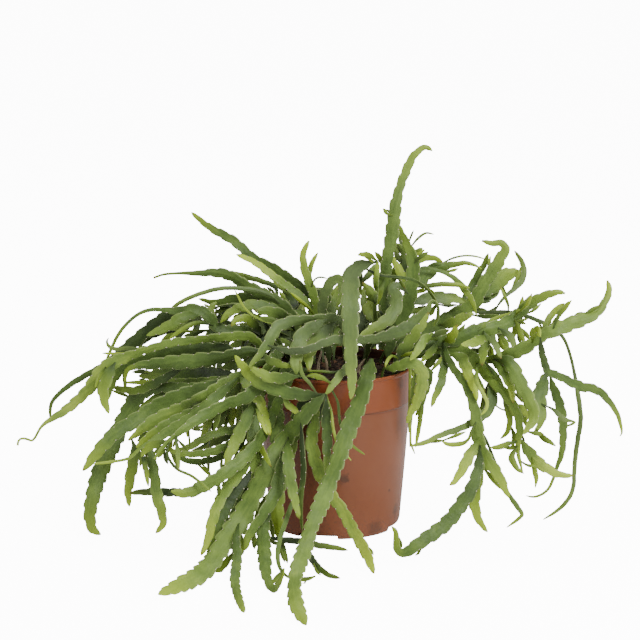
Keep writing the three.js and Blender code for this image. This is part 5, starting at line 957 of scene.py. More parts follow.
# Short side stems fill the gaps inside a spray: a tone, a width and a route. Each starts behind the stem that
# is nearest to its first point, and belongs to that stem's spray.
fillerShape = {"behind": 1.5, "lean": 2.2, "widths": (0.5, 1, 1, 0.9)}  # widths are shares, from joint to tip
# fillers with the dark tone d are painted shade inside the thicket
fillers = [
    ("m", 6, [-106, 155, -117, 149.5, -126, 143.5, -134, 138]),
    ("d", 5, [-124, 147, -134, 145.5, -143, 141.5, -151, 135]),
    ("d", 3.5, [-98, 147, -107, 144.5, -117, 142.5]),
    ("d", 8, [-64, 142, -72, 137.5, -82, 134.5]),
    ("d", 9, [-66, 124, -76, 120.5, -88, 118]),
    ("d", 6, [-30, 132, -36, 137, -42, 141]),
    ("d", 5, [-40, 152, -48, 155, -58, 157]),
    ("d", 4, [-70, 151, -78, 151.5, -84, 154, -88, 160]),
    ("d", 5, [-80, 166, -86, 163.5, -92, 160]),
    ("d", 5, [-120, 100, -134, 97, -143, 92, -151, 86]),
    ("m", 5, [-30, 163, -36, 169, -43, 177]),
    ("d", 5, [-88, 88, -90, 80, -93, 70]),
    ("d", 4, [-82, 84, -83, 78, -85, 72]),
    ("d", 3, [-112, 74, -104, 72.5, -100, 75]),
    ("d", 1.6, [-111, 74, -112, 64, -111.5, 56]),
    ("d", 3.5, [-122, 65, -118, 60, -113, 55]),
    ("m", 4, [-124, 65, -126, 60, -128, 53]),
    ("m", 6, [-128, 64, -137, 60, -146, 55, -149, 50]),
    ("m", 4, [-130, 57, -134, 52, -136, 49]),
    ("d", 6, [-76, 68, -85, 64.5, -95, 60, -106, 55.5]),
    ("m", 3.5, [-86, 52, -87, 47, -88, 41]),
    ("m", 2, [-104, 46, -101, 43, -98, 39]),
    ("m", 4, [-62, 66, -68, 58, -76, 49]),
    ("d", 3, [-56, 56, -57, 50, -57, 42]),
    ("m", 4, [-60, 46, -65, 38, -70, 31]),
    ("d", 5, [52, 196, 48, 204, 46.5, 212]),
    ("m", 5, [58, 202, 63, 206.5, 69, 209]),
    ("m", 4.5, [58, 174, 64, 177, 71, 178]),
    ("d", 4, [46, 188, 51, 184, 54, 179]),
    ("m", 7, [56, 158, 63, 162.5, 71, 165.5]),
    ("m", 6, [80, 168, 76, 164, 73, 158]),
    ("d", 3, [78, 168, 86, 166, 94, 167]),
    ("d", 6, [72, 142, 79, 144.5, 88, 147.5]),
    ("d", 4, [58, 133, 62, 138, 67, 143]),
    ("d", 8, [84, 130, 77, 126, 72, 121, 70, 115]),
    ("d", 6, [104, 162, 111, 163, 118, 161]),
    ("d", 4, [104, 160, 115, 158, 127, 158.5]),
    ("m", 6, [143, 155, 139, 148, 137, 141]),
    ("m", 4, [138, 158, 142, 154, 147, 152]),
    ("m", 5, [142, 150, 146, 145, 150, 140]),
    ("m", 5, [118, 140, 120, 133, 121, 125]),
    ("d", 5, [100, 133, 106, 132, 113, 130]),
    ("m", 4, [125, 146, 127, 138, 131, 131]),
    ("d", 5, [116, 108, 116, 98, 114, 90, 112, 84]),
    ("m", 5, [137, 100, 142, 96, 146, 91]),
    ("m", 4, [143, 85, 146, 79, 147, 73]),
    ("m", 4, [138, 74, 138, 65, 136, 57]),
    ("m", 4.6, [-73.5, -18.8, -86.7, -35.6, -96.7, -47.3]),
    ("d", 5.1, [19.9, 156.7, 21.9, 171.4, 23, 181.7]),
    ("d", 6, [18.4, 181.8, 27.4, 191.8, 32.8, 198.9]),
    ("d", 3.4, [-48.9, 29.2, -56.4, 13.4, -62, 1.6]),
    ("m", 4.5, [134.1, 176.2, 141.4, 188.5, 144.5, 197.8]),
    ("d", 3.3, [114.4, 126.2, 123.4, 113.3, 129.9, 104.1]),
    ("m", 3.3, [111.6, 44.4, 121, 33, 127.6, 25]),
    ("m", 5, [39.9, 192.7, 34.3, 203, 30.6, 207.4]),
    ("d", 4.7, [-61, -3.6, -62.1, -15.3, -61.9, -21.1]),
    ("d", 4.3, [-50.2, 6.3, -48.4, -5.9, -47.2, -13.6]),
    ("m", 3.8, [-71.2, -4.4, -71.1, -16.9, -70.5, -25]),
    ("m", 4.6, [144.8, 71.4, 155.5, 67.9, 160.7, 67.4]),
    ("d", 3.7, [-136.3, 116.1, -148.4, 115.3, -156.1, 114.9]),
    ("d", 4.8, [1.8, 152.5, 4, 162.5, 5.3, 168]),
    ("m", 3.9, [-38.1, -34.5, -45, -43.1, -48.7, -48.6]),
    ("m", 3.1, [186.5, 157.6, 197.5, 163, 204.3, 166.5]),
    ("m", 3.2, [-128.9, 58.4, -123.2, 47.8, -120.4, 40.8]),
    ("m", 2.8, [166.7, 155, 175.2, 164.6, 179.9, 169.6]),
    ("d", 3.5, [-133.5, 60.1, -130.5, 49.1, -128.3, 44]),
    ("m", 3.6, [-5.3, 167.9, -0.1, 177.5, 3.2, 183.1]),
    ("d", 3.6, [-140.5, 72.5, -148.5, 65.1, -152.2, 61.7]),
    ("m", 2.9, [-36.9, 171.1, -43.6, 180.8, -48.3, 186.3]),
    ("m", 3.5, [-163.5, 118.6, -161.5, 108.1, -161.2, 101.9]),
    ("m", 2.8, [144.3, 155.1, 153.1, 163, 158.5, 167.8]),
    ("m", 2.8, [-155.2, 95.6, -165.8, 99, -172.1, 101.1]),
    ("m", 3.1, [68.7, 59.4, 79, 61.9, 83.7, 62.5]),
    ("m", 4, [127.9, 52, 136.1, 56.7, 140.6, 58.6]),
    ("d", 3.3, [-40.9, 172.4, -49.1, 178.2, -52.6, 180.3]),
    ("m", 2.6, [83, 63.2, 94, 66.6, 100.7, 69.2]),
    ("d", 4, [-89, 33.3, -89.2, 24.2, -89.7, 19.6]),
    ("d", 3.8, [-55, -10.9, -47, -15.7, -42.9, -18.2]),
    ("m", 3, [81.3, 190.5, 90.9, 193.3, 94.7, 194.7]),
    ("d", 3.4, [-129, 61.7, -136, 55.2, -139.7, 51.8]),
    ("d", 3.5, [115.6, 158.4, 123.1, 163.9, 125.7, 166]),
    ("m", 2.9, [-107.4, 47.6, -100.6, 40.1, -96.8, 35.9]),
    ("d", 2.6, [108.2, 114.6, 112.8, 105.2, 115.5, 99.9]),
    ("m", 3.2, [-23.1, -40.6, -24.4, -50, -25.3, -54.9]),
    ("d", 3.1, [136.9, 149, 141.4, 140.7, 143.7, 136.3]),
    ("m", 2.6, [116.3, 189.9, 118.8, 199.9, 119.6, 204.1]),
    ("m", 2.6, [-97.7, 60.8, -106.8, 55.3, -112.4, 52.7]),
    ("m", 2.6, [-44.1, -17.3, -40.2, -27, -38.4, -31.1]),
    ("m", 3, [151.7, 104.8, 158.6, 110.9, 162.3, 114]),
    ("m", 3.2, [-12.5, -43.1, -21.5, -43.6, -26.1, -43.6]),
    ("d", 3, [52.4, 206.7, 50.1, 215.5, 49.3, 220.2]),
    ("m", 3.1, [56.1, 206.2, 64.5, 209.4, 67.4, 210.4]),
    ("m", 3, [140.4, 167.9, 148.5, 171.9, 150.9, 173.9]),
    ("m", 2.9, [173.8, 72.2, 182.5, 75.1, 185.3, 76.6]),
    ("d", 2.6, [-70.6, 58, -76.4, 50.3, -79.5, 46.3]),
    ("m", 3, [-148.4, 54, -149.6, 45, -150, 41.9]),
    ("m", 2.8, [177.7, 156, 186.2, 159.3, 190.4, 161.2]),
    ("m", 3.4, [76.2, 115.5, 80, 123.2, 81.8, 126.9]),
    ("m", 2.6, [23.8, -13.7, 28, -22.3, 29.6, -25.6]),
    ("m", 3.5, [-91.6, 161.6, -98.8, 166, -100.7, 167.4]),
    ("d", 3, [92.2, 143.5, 98.5, 149.6, 99.9, 152]),
    ("m", 2.6, [71.3, -18.6, 64.2, -24.2, 61.7, -25.9]),
    ("d", 2.7, [-91.7, 152.1, -91.7, 160.8, -90.8, 165]),
    ("d", 2.6, [-139.7, 137, -148.4, 134.2, -152.9, 132.8]),
    ("d", 2.8, [-75.5, 72.7, -84.2, 72.7, -88.4, 73]),
    ("d", 3, [35.2, 155.9, 34.2, 164.2, 33.6, 168]),
    ("m", 2.6, [164.8, 146.6, 168.6, 154.5, 169.6, 157]),
    ("m", 3, [-98.9, 68.4, -106.9, 70.6, -110.7, 71.5]),
    ("d", 2.6, [-80.5, 49.5, -86, 42.3, -89.4, 39.2]),
    ("m", 2.6, [19.9, 204.4, 27.9, 200.7, 31.9, 199.2]),
    ("d", 2.6, [-68.6, 161.8, -76.2, 158.2, -78.4, 157.1]),
    ("d", 2.6, [-62.4, 151.9, -71.1, 151.9, -75.3, 151.9]),
    ("m", 3.2, [66.6, 90.3, 63.1, 83.2, 62.3, 81.5]),
    ("d", 2.6, [-93.8, 81, -93.8, 72.3, -93.8, 68.1]),
    ("d", 2.7, [-144.8, 58.7, -145, 50.4, -144.8, 46.6]),
    ("d", 2.6, [-79.4, 36, -85.2, 29.5, -87.1, 27.5]),
    ("m", 2.6, [50.8, -8.2, 50.8, -16.9, 50.8, -21.1]),
    ("d", 2.6, [53, 201.3, 49.3, 209.2, 47.4, 213]),
    ("m", 2.7, [13.3, 200.1, 19.1, 205.9, 20.9, 207.1]),
    ("m", 2.6, [126.9, 185.5, 130.3, 177.4, 132.4, 173.7]),
    ("d", 3.5, [-45.5, 135.1, -51, 129.8, -53.1, 127.5]),
    ("d", 2.6, [-140.1, 108.5, -148.4, 109.1, -150.7, 109.1]),
    ("d", 2.6, [-77.1, 7.6, -82.7, 1.2, -85.2, -1.9]),
    ("m", 2.6, [-20.5, -32.4, -14.1, -38.3, -10.8, -41]),
    ("m", 2.6, [30.9, 240, 39.6, 239.5, 43.8, 239.1]),
    ("m", 2.9, [68.5, 182.8, 74.4, 177.5, 76.8, 175]),
    ("m", 2.8, [137.2, 153.5, 145, 155.3, 148.4, 156]),
    ("m", 2.8, [157.2, 157, 158.8, 149.2, 159.6, 145.8]),
    ("m", 2.8, [11.9, 136.4, 19.6, 134.6, 21.6, 134.3]),
    ("m", 2.6, [60.5, 122.5, 60.1, 114.2, 59.9, 110.4]),
    ("d", 2.8, [143.4, 70.9, 145, 63.1, 145.8, 59.7]),
    ("m", 2.6, [-121.1, 68.3, -123.4, 60.4, -124.5, 56.7]),
    ("d", 2.6, [-92.8, 151.3, -100.7, 153.9, -104.3, 155.2]),
    ("d", 2.7, [103.4, 130.1, 110.6, 133.2, 113.6, 134.9]),
    ("d", 2.6, [118.4, 137.1, 118.4, 128.8, 118.4, 125]),
]


def layFiller(stems, tone, width, route):
    drawn = [(route[k], route[k + 1]) for k in range(0, len(route), 2)]
    index, k = nearestStation(stems, *drawn[0])
    other = stems[index]
    near = other["near"][k] + other["shift"][k] - fillerShape["behind"]
    drawn[0] = (other["across"][k], other["up"][k])
    points = [placed(across, up, near - fillerShape["lean"] * i) for i, (across, up) in enumerate(drawn)]
    widths = [width * share for share in fillerShape["widths"]]
    stem = layStem(points, 2 * points[0] - points[1], widths, None, (index, k), tone)
    stem["name"] = other["name"]
    frameStem(stem, len(stems))
    return stem


stems = []
for sprayName, (foot, drawnStems) in sprays.items():
    stems += layDrawnSpray(f"spray_{sprayName}", foot, drawnStems, len(stems))
for index, sector in enumerate(farSectors):
    stems += layFarSpray(sector, index, len(stems))
settle(stems)
mainStems = list(stems)
for tone, width, route in fillers:
    stems.append(layFiller(mainStems, tone, width, route))
print("routes laid:", len(stems), "stems")

# Living cactus skin: a waxy cuticle over green flesh, as it grew, with a satin shine. Young stem ends are
# yellow-green, old stems are greyer with a dusty bloom, and a thin pale line runs along the teeth. Painted
# shade darkens each stem near its joint. Scales are in millimetres.
stemSkin = {
    "tones": [(0.0, "#18270a"), (0.25, "#33461b"), (0.5, "#58722e"), (0.75, "#7f9a40"), (1.0, "#b8cc50")],
    "bloom": "#77855f",
    "margin": "#a8b574",
    "tip": "#b2cb30",
    "brown": "#6d4d2a",
    "marginFrom": 0.6,
    "shares": {"bloom": 0.8, "margin": 0.5, "tip": 0.9, "brown": 0.9},
    "shadow": "#66784a",
    "roughness": 0.5,
    "mottle": 14,
    "patchy": 0.46,
    "dimple": 4.5,
    "streak": 1.6,
    "veined": 0.26,
    "grain": 0.9,
}


def makeStemSkin():
    material, tree, shader = newMaterial("waxyCactusSkin", {
        "Roughness": stemSkin["roughness"], "IOR": 1.42, "Specular IOR Level": 0.35})
    coords = addNode(tree, "ShaderNodeTexCoord")
    place = coords.outputs["Object"]
    growth = addNode(tree, "ShaderNodeAttribute", {"attribute_name": "growth"})
    parts = addNode(tree, "ShaderNodeSeparateColor", None, {0: growth.outputs["Color"]})
    skin = addNode(tree, "ShaderNodeAttribute", {"attribute_name": "skin"})
    marks = addNode(tree, "ShaderNodeSeparateColor", None, {0: skin.outputs["Color"]})
    tone, bloom, darkness = parts.outputs[0], parts.outputs[1], parts.outputs[2]
    tip, brown = marks.outputs[1], marks.outputs[2]
    rim = addNode(tree, "ShaderNodeMapRange", {1: stemSkin["marginFrom"], 2: 1.0}, {0: marks.outputs[0]})
    margin = rim.outputs[0]
    mottle = addNode(tree, "ShaderNodeTexNoise", {"Scale": 1000 / stemSkin["mottle"], "Detail": 4.0},
                     {"Vector": place})
    stretched = addNode(tree, "ShaderNodeMapping", {"Scale": (1, 0.12, 1)}, {"Vector": coords.outputs["UV"]})
    streak = addNode(tree, "ShaderNodeTexNoise", {"Scale": 1000 / stemSkin["streak"], "Detail": 3.0},
                     {"Vector": stretched.outputs[0]})  # faint veins along the stem
    grain = addNode(tree, "ShaderNodeTexNoise", {"Scale": 1000 / stemSkin["grain"], "Detail": 2.0},
                    {"Vector": place})
    varied = tone
    for pattern, strength in ((mottle, stemSkin["patchy"]), (streak, stemSkin["veined"])):
        swing = addNode(tree, "ShaderNodeMath", {"operation": "MULTIPLY_ADD", 1: strength, 2: -strength / 2},
                        {0: pattern.outputs["Fac"]})
        added = addNode(tree, "ShaderNodeMath", {"operation": "ADD"}, {0: varied, 1: swing.outputs[0]})
        varied = added.outputs[0]
    painted = addNode(tree, "ShaderNodeValToRGB", {"stops": stemSkin["tones"]}, {0: varied}).outputs[0]
    for factor, paint in ((bloom, "bloom"), (margin, "margin"), (tip, "tip"), (brown, "brown")):
        amount = addNode(tree, "ShaderNodeMath", {"operation": "MULTIPLY", 1: stemSkin["shares"][paint]},
                         {0: factor})
        painted = addNode(tree, "ShaderNodeMix", {"data_type": "RGBA", 7: linear(stemSkin[paint])},
                          {0: amount.outputs[0], 6: painted}).outputs[2]
    # painted shade: the colour is multiplied towards the shadow colour near each stem's joint
    shaded = addNode(tree, "ShaderNodeMix", {"data_type": "RGBA", "blend_type": "MULTIPLY",
                                             7: linear(stemSkin["shadow"])}, {0: darkness, 6: painted})
    tree.links.new(shaded.outputs[2], shader.inputs["Base Color"])
    dimple = addNode(tree, "ShaderNodeTexNoise", {"Scale": 1000 / stemSkin["dimple"], "Detail": 1.0},
                     {"Vector": place})
    soft = addNode(tree, "ShaderNodeBump", {"Strength": 0.5, "Distance": 0.0012},
                   {"Height": dimple.outputs["Fac"]})
    relief = addNode(tree, "ShaderNodeMath", {"operation": "ADD"},
                     {0: grain.outputs["Fac"], 1: streak.outputs["Fac"]})
    bump = addNode(tree, "ShaderNodeBump", {"Strength": 0.35, "Distance": 0.00025},
                   {"Height": relief.outputs[0], "Normal": soft.outputs["Normal"]})
    tree.links.new(bump.outputs["Normal"], shader.inputs["Normal"])
    return material


# Areole felt: short dense hairs, matt and pale, that catch the light as small dots along the margins.
areole = {
    "colour": "#ddd8bd",
    "shade": "#a59c7c",
    "hairScale": 2600.0,
    "along": 0.8,
    "across": 0.5,
    "thick": 0.45,
    "inset": 0.25,
    "lift": 0.3,
    "pastJoint": 9,
    "beforeTip": 5,
    "leastWide": 0.45,
}


def makeFelt():
    material, tree, shader = newMaterial("areoleFelt", {"Roughness": 0.95, "IOR": 1.4, "Sheen Weight": 0.3})
    coords = addNode(tree, "ShaderNodeTexCoord")
    tuft = addNode(tree, "ShaderNodeTexNoise", {"Scale": areole["hairScale"], "Detail": 2.0},
                   {"Vector": coords.outputs["Object"]})
    colour = addNode(tree, "ShaderNodeValToRGB", {"stops": [(0.3, areole["shade"]), (0.7, areole["colour"])]},
                     {0: tuft.outputs["Fac"]})
    tree.links.new(colour.outputs["Color"], shader.inputs["Base Color"])
    return material


toneValues = {  # tone, bloom and how yellow the tip is: middle, bright, young, dark (painted shade), greyed and old
    "m": (0.52, 0.14, 0.8),
    "b": (0.72, 0.03, 1),
    "y": (0.84, 0.0, 1),
    # painted shade: d is the middle tone made darker, for stems that lie in shade deep in the thicket or
    # behind others
    "d": (0.3, 0.12, 0.3),
    "g": (0.48, 0.52, 0.3),
    "o": (0.42, 0.05, 0.3),
}
ribbonTone = {
    "vary": 0.2,
    "tipLift": 0.2,
    "jointDrop": 0.15,
    "backDrop": 0.08,
    "jointShade": 0.5,
    "shadeLength": 26,
    "youngLeast": 14,
    "youngMore": 34,
    "driedLength": 3,
    "driedShare": 0.3,
}
ribbonShape = {
    "pitch": 10.4,
    "pitchLeast": 0.86,
    "pitchMore": 0.28,
    "toothRings": (0.0, 0.14, 0.28, 0.38, 0.5, 0.64, 0.78, 0.88),
    "tipClear": 4.5,
    "tipRings": (4, 3, 2.1, 1.3, 0.7, 0.3, 0.1),
    "apex": 0.78,
    "notch": 0.9,
    "inner": 0.98,
    "outer": 0.25,
    "slim": 2.6,
    "tipLength": 26,
    "tipNarrow": 0.42,
    "tipLeast": 3,
    "tipRound": 3.2,
    "rootWidth": 2.2,
    "footWidth": 1.8,
    "twist": 15,
    "twistLength": 64,
    "twistFrom": 20,
    "fold": 0.34,
    "foldPower": 1.3,
    "wave": 0.35,
    "waveLength": 11,
    "thickShare": 0.26,
    "thickness": (0.5, 0.9),
    "backShare": 0.75,
    "edge": 0.3,
    "rib": 0.2,
    "notchLead": 0.04,
    "backPlace": 20,
}
anyTurn = 6.28  # the range of a turn drawn by evenDraw, in radians
# a ring's points run from one margin over the front to the other and back behind, in shares across and high
frontAcross = np.array([-1, -0.68, -0.2, 0, 0.2, 0.68, 1])
frontHeight = np.array([0, 0.45, 0.5, 1.0, 0.5, 0.45, 0])
backAcross = np.array([1, 0.5, 0, -0.5, -1])
backHeight = np.array([0, 0.6, 0.85, 0.6, 0])


def between(values, steps):
    count = len(values)
    places = np.clip(steps, 0, count - 1)
    low = np.minimum(places.astype(int), count - 2)
    share = (places - low)[:, None]
    p1, p2 = values[low], values[low + 1]
    p0 = values[np.maximum(low - 1, 0)]
    p3 = values[np.minimum(low + 2, count - 1)]
    return 0.5 * (2 * p1 + (p2 - p0) * share + (2 * p0 - 5 * p1 + 4 * p2 - p3) * share ** 2
                  + (3 * p1 - p0 - 3 * p2 + p3) * share ** 3)


def toothOut(turns):
    # a tooth swells slowly towards the tip and steps back in at its notch
    apex, notch = ribbonShape["apex"], ribbonShape["notch"]
    part = turns - np.floor(turns)
    rising = np.sin(np.clip(part / apex, 0, 1) * math.pi / 2) ** 0.8
    falling = np.clip((notch - part) / (notch - apex), 0, 1)
    return np.where(part <= apex, rising, falling)


def ribbonRuns(length, pitch, offset):
    turns = np.arange(math.floor(offset) - 1, offset + length / pitch + 1)
    runs = ((turns[:, None] + np.array(ribbonShape["toothRings"])).ravel() - offset) * pitch
    runs = runs[(runs > 0.5) & (runs < length - ribbonShape["tipClear"])]
    tipRuns = length - np.array(ribbonShape["tipRings"])
    return np.concatenate([[0], runs, tipRuns[tipRuns > 1]])


def ribbon(stem, salt):
    r = ribbonShape
    step = stemShape["sampleStep"]
    length = (len(stem["place"]) - 1) * step
    offset = evenDraw(salt * 3 + 1)
    pitch = r["pitch"] * (r["pitchLeast"] + r["pitchMore"] * evenDraw(salt * 9 + 4))
    run = ribbonRuns(length, pitch, offset)
    places = between(stem["place"], run / step)
    faces = unit(between(stem["face"], run / step))
    asides = unit(between(stem["aside"], run / step))
    phase = anyTurn * evenDraw(salt * 4 + 2)
    slow = np.sin(run / r["twistLength"] * anyTurn * (0.6 + 0.8 * evenDraw(salt + 6)) + phase)
    twist = math.radians(r["twist"]) * slow * np.clip(run / r["twistFrom"], 0, 1)
    faces, asides = (faces * np.cos(twist)[:, None] + asides * np.sin(twist)[:, None],
                     asides * np.cos(twist)[:, None] - faces * np.sin(twist)[:, None])
    widths = np.interp(run / step, np.arange(len(stem["width"])), stem["width"])
    tipRun = length - run
    narrowing = np.clip(1 - tipRun / r["tipLength"], 0, 1) ** 1.5
    broad = np.clip((widths - r["tipLeast"]) / r["tipLeast"], 0, 1)
    widths = widths * (1 - r["tipNarrow"] * narrowing * broad)
    widths = widths * np.sqrt(np.clip(tipRun / r["tipRound"], 0.03, 1))
    if stem["parent"] is None:
        depth = stemShape["stubTop"] - stemShape["stubFoot"]
        rise = np.linspace(-depth, 0, 7)[:-1]
        flatFace = unit(stem["face"][0] * np.array([1, 1, 0]))
        places = np.vstack([places[0] + np.outer(rise, (0, 0, 1)), places])
        faces = np.vstack([np.tile(flatFace, (len(rise), 1)), faces])
        asides = np.vstack([np.tile(np.cross((0, 0, 1), flatFace), (len(rise), 1)), asides])
        widths = np.concatenate([np.full(len(rise), r["rootWidth"]), np.maximum(widths, r["footWidth"])])
        run = np.concatenate([rise, run])
        tipRun = length - run
    wide = np.clip((widths - r["slim"]) / r["slim"], 0, 1)
    outer = r["outer"] * wide
    turns = run / pitch + offset
    left = widths / 2 * (r["inner"] + outer * toothOut(turns))
    right = widths / 2 * (r["inner"] + outer * toothOut(turns + 0.5))
    fold = r["fold"] * (evenDraw(salt * 5 + 2) * 1.4 - 0.4)
    wave = r["wave"] * np.sin(run / r["waveLength"] + phase)
    thick = np.clip(r["thickShare"] * widths, *r["thickness"])
    edge = np.minimum(r["edge"], thick * 0.6)
    ribHigh = np.clip(0.3 * widths, 0.3, 1) * r["rib"]
    rings = []
    for across, height, sign in ((frontAcross, frontHeight, 1), (backAcross, backHeight, -r["backShare"])):
        for x, h in zip(across, height):
            reach = np.where(x < 0, left, right) * x
            swell = edge + (thick - edge) * min(1, h * 1.6) + (ribHigh if sign > 0 and x == 0 else 0)
            bend = fold * abs(x) ** r["foldPower"] * widths / 2 + wave * x * wide
            rings.append(places + asides * reach[:, None] + faces * (sign * swell + bend)[:, None])
    rings = np.stack(rings, 1)
    ringCount, size = rings.shape[:2]
    index = np.arange(ringCount * size).reshape(ringCount, size)
    following = np.roll(index, -1, 1)
    quads = np.stack([index[:-1], following[:-1], following[1:], index[1:]], -1).reshape(-1, 4)
    ends = [index[0][::-1].tolist(), index[-1].tolist()]
    tone, bloom, yellow = toneValues[stem["tone"]]
    t = ribbonTone
    share = np.clip(run / max(length, 1), 0, 1)
    across = np.concatenate([frontAcross, backAcross])
    growth = np.zeros((ringCount, size, 4))
    lengthwise = t["tipLift"] * share ** 2 - t["jointDrop"] * (1 - share) ** 3
    growth[..., 0] = (tone + t["vary"] * (evenDraw(salt * 7 + 3) - 0.5) + lengthwise)[:, None]
    growth[:, len(frontAcross):, 0] -= t["backDrop"]
    growth[..., 1] = (bloom * (1 - 0.5 * share))[:, None]
    # painted shade: the third channel darkens the first few centimetres of each stem from its joint
    growth[..., 2] = (t["jointShade"] * np.clip(1 - run / t["shadeLength"], 0, 1))[:, None]
    skin = np.zeros((ringCount, size, 4))
    skin[..., 0] = np.abs(across)[None, :] ** 4
    young = yellow * (0.3 + 0.7 * evenDraw(salt * 13 + 1))
    youngLength = t["youngLeast"] + t["youngMore"] * evenDraw(salt)
    skin[..., 1] = (young * np.clip(1 - tipRun / youngLength, 0, 1))[:, None]
    dried = evenDraw(salt * 11 + 5) < t["driedShare"]
    skin[..., 2] = (np.clip(1 - tipRun / t["driedLength"], 0, 1) * dried)[:, None]
    flat = np.stack([across[None, :] * widths[:, None] / 2, np.tile(run[:, None], (1, size))], -1)
    flat[:, len(frontAcross):, 0] += r["backPlace"]
    tufts = []
    for side, shift, reach in ((-1, 0, left), (1, 0.5, right)):
        first = math.ceil(offset + shift)
        for turn in range(first, int(turns[-1] + shift) + 1):
            at = (turn - r["notchLead"] - shift - offset) * pitch
            if at < areole["pastJoint"] or at > length - areole["beforeTip"]:
                continue
            k = min(int(np.searchsorted(run, at)), ringCount - 1)
            if wide[k] > areole["leastWide"]:
                out = side * (reach[k] - areole["inset"])
                along = np.cross(faces[k], asides[k])
                lift = faces[k] * (fold * widths[k] / 2 + wave[k] * side * wide[k] + areole["lift"])
                tufts.append((places[k] + asides[k] * out + lift, along, asides[k], faces[k]))
    layers = [growth.reshape(-1, 4), skin.reshape(-1, 4), flat.reshape(-1, 2)]
    return rings.reshape(-1, 3), quads, ends, layers, tufts


tuftPoints = np.array([(1, 0, 0), (0, 1, 0), (-1, 0, 0), (0, -1, 0), (0, 0, 1), (0, 0, -1)], float)
tuftFaces = [(0, 1, 4), (1, 2, 4), (2, 3, 4), (3, 0, 4), (1, 0, 5), (2, 1, 5), (3, 2, 5), (0, 3, 5)]


def buildSpray(name, members, materials):
    points, faces, slots = [], [], []
    layers = [[], [], []]  # growth, skin and the place along the flat ribbon, for every point
    count = 0
    for salt, stem in members:
        ringPoints, quads, ends, ribbonLayers, tufts = ribbon(stem, salt)
        points.append(ringPoints)
        faces += (quads + count).tolist()
        faces += [[v + count for v in end] for end in ends]
        for layer, values in zip(layers, ribbonLayers):
            layer.append(values)
        slots += [0] * (len(quads) + 2)
        count += len(ringPoints)
        for place, along, aside, face in tufts:
            size = np.array([areole["along"], areole["across"], areole["thick"]])
            points.append(place + (tuftPoints * size) @ np.stack([along, aside, face]))
            faces += [[v + count for v in triangle] for triangle in tuftFaces]
            for layer, values in zip(layers, ribbonLayers):
                layer.append(np.zeros((len(tuftPoints), values.shape[1])))
            slots += [1] * len(tuftFaces)
            count += len(tuftPoints)
    inside = np.clip(np.vstack(points), *(np.array(cadBounds) / mm))
    piece = newPiece(f"{name}_stems", inside, faces, [name], materials)
    mesh = piece.data
    growth, skin, flat = [np.vstack(layer) for layer in layers]
    for attributeName, values in (("growth", growth), ("skin", skin)):
        attribute = mesh.attributes.new(attributeName, "FLOAT_COLOR", "POINT")
        attribute.data.foreach_set("color", values.astype(np.float32).ravel())
    corners = np.empty(len(mesh.loops), int)
    mesh.loops.foreach_get("vertex_index", corners)
    unwrapped = mesh.uv_layers.new(name="alongStem")
    unwrapped.data.foreach_set("uv", (flat[corners] * mm).astype(np.float32).ravel())
    mesh.polygons.foreach_set("material_index", slots)
    return piece


cactusSkin = makeStemSkin()
feltSkin = makeFelt()
sprayNames = list(dict.fromkeys(stem["name"] for stem in stems))
for sprayName in sprayNames:
    members = [(salt, stem) for salt, stem in enumerate(stems) if stem["name"] == sprayName]
    buildSpray(sprayName, members, [cactusSkin, feltSkin])
print("sprays built:", len(sprayNames))

# Injection-moulded polypropylene in a terracotta colour: satin, with faint flow marks, fine scuffs, soil dust
# near the foot and splashes of soil. Painted shade lies in a thin band under the collar's step, over the left
# side, and with peat in a near-black band on the inside above the soil.
potLook = {
    "body": "#8b5336",
    "collar": "#924c28",
    # painted shade: a thin darker band just under the step where the collar starts
    "stepShade": "#7d4a33",
    "stepShadeShares": (0.768, 0.778, 0.787, 0.8),
    "roughness": 0.36,
    "grainScale": 1400.0,
    "shade": "#85492f",
    "shadeShare": 0.4,
    "dust": "#5a4636",
    "dustByHeight": [(0.0, 1.0), (0.05, 0.75), (0.16, 0.1), (0.5, 0.03)],
    "dustBySpeck": [(0.58, 0.0), (0.68, 1.0)],
    "scuff": 2.4,
    "stain": "#5b3b2a",
    "stains": ((6, 50, 5, 0.8), (9, 49, 3, 0.7), (41, 35, 1.8, 0.9), (51, 40, 1.5, 0.8), (46, 16, 6, 0.7),
               (30, 7, 9, 0.6), (51, 119, 6, 0.55)),  # across, height, size, strength
    "stainCore": 0.35,
    "blotch": 3.5,
    # painted shade: the left side of the pot, shaded by the stems, is darkened
    "leftShade": "#6d3517",
    "leftShadeFrom": 8,
    "leftShadeTo": -30,
    "leftShadeShare": 0.62,
    # painted shade and peat: a near-black band inside the wall above the soil
    "innerShadeAndPeat": "#241812",
    "innerShadeAndPeatRadii": (59.0, 58.85),
    "innerShadeAndPeatFrom": 0.85,
    "innerShadeAndPeatShare": 0.85,
}


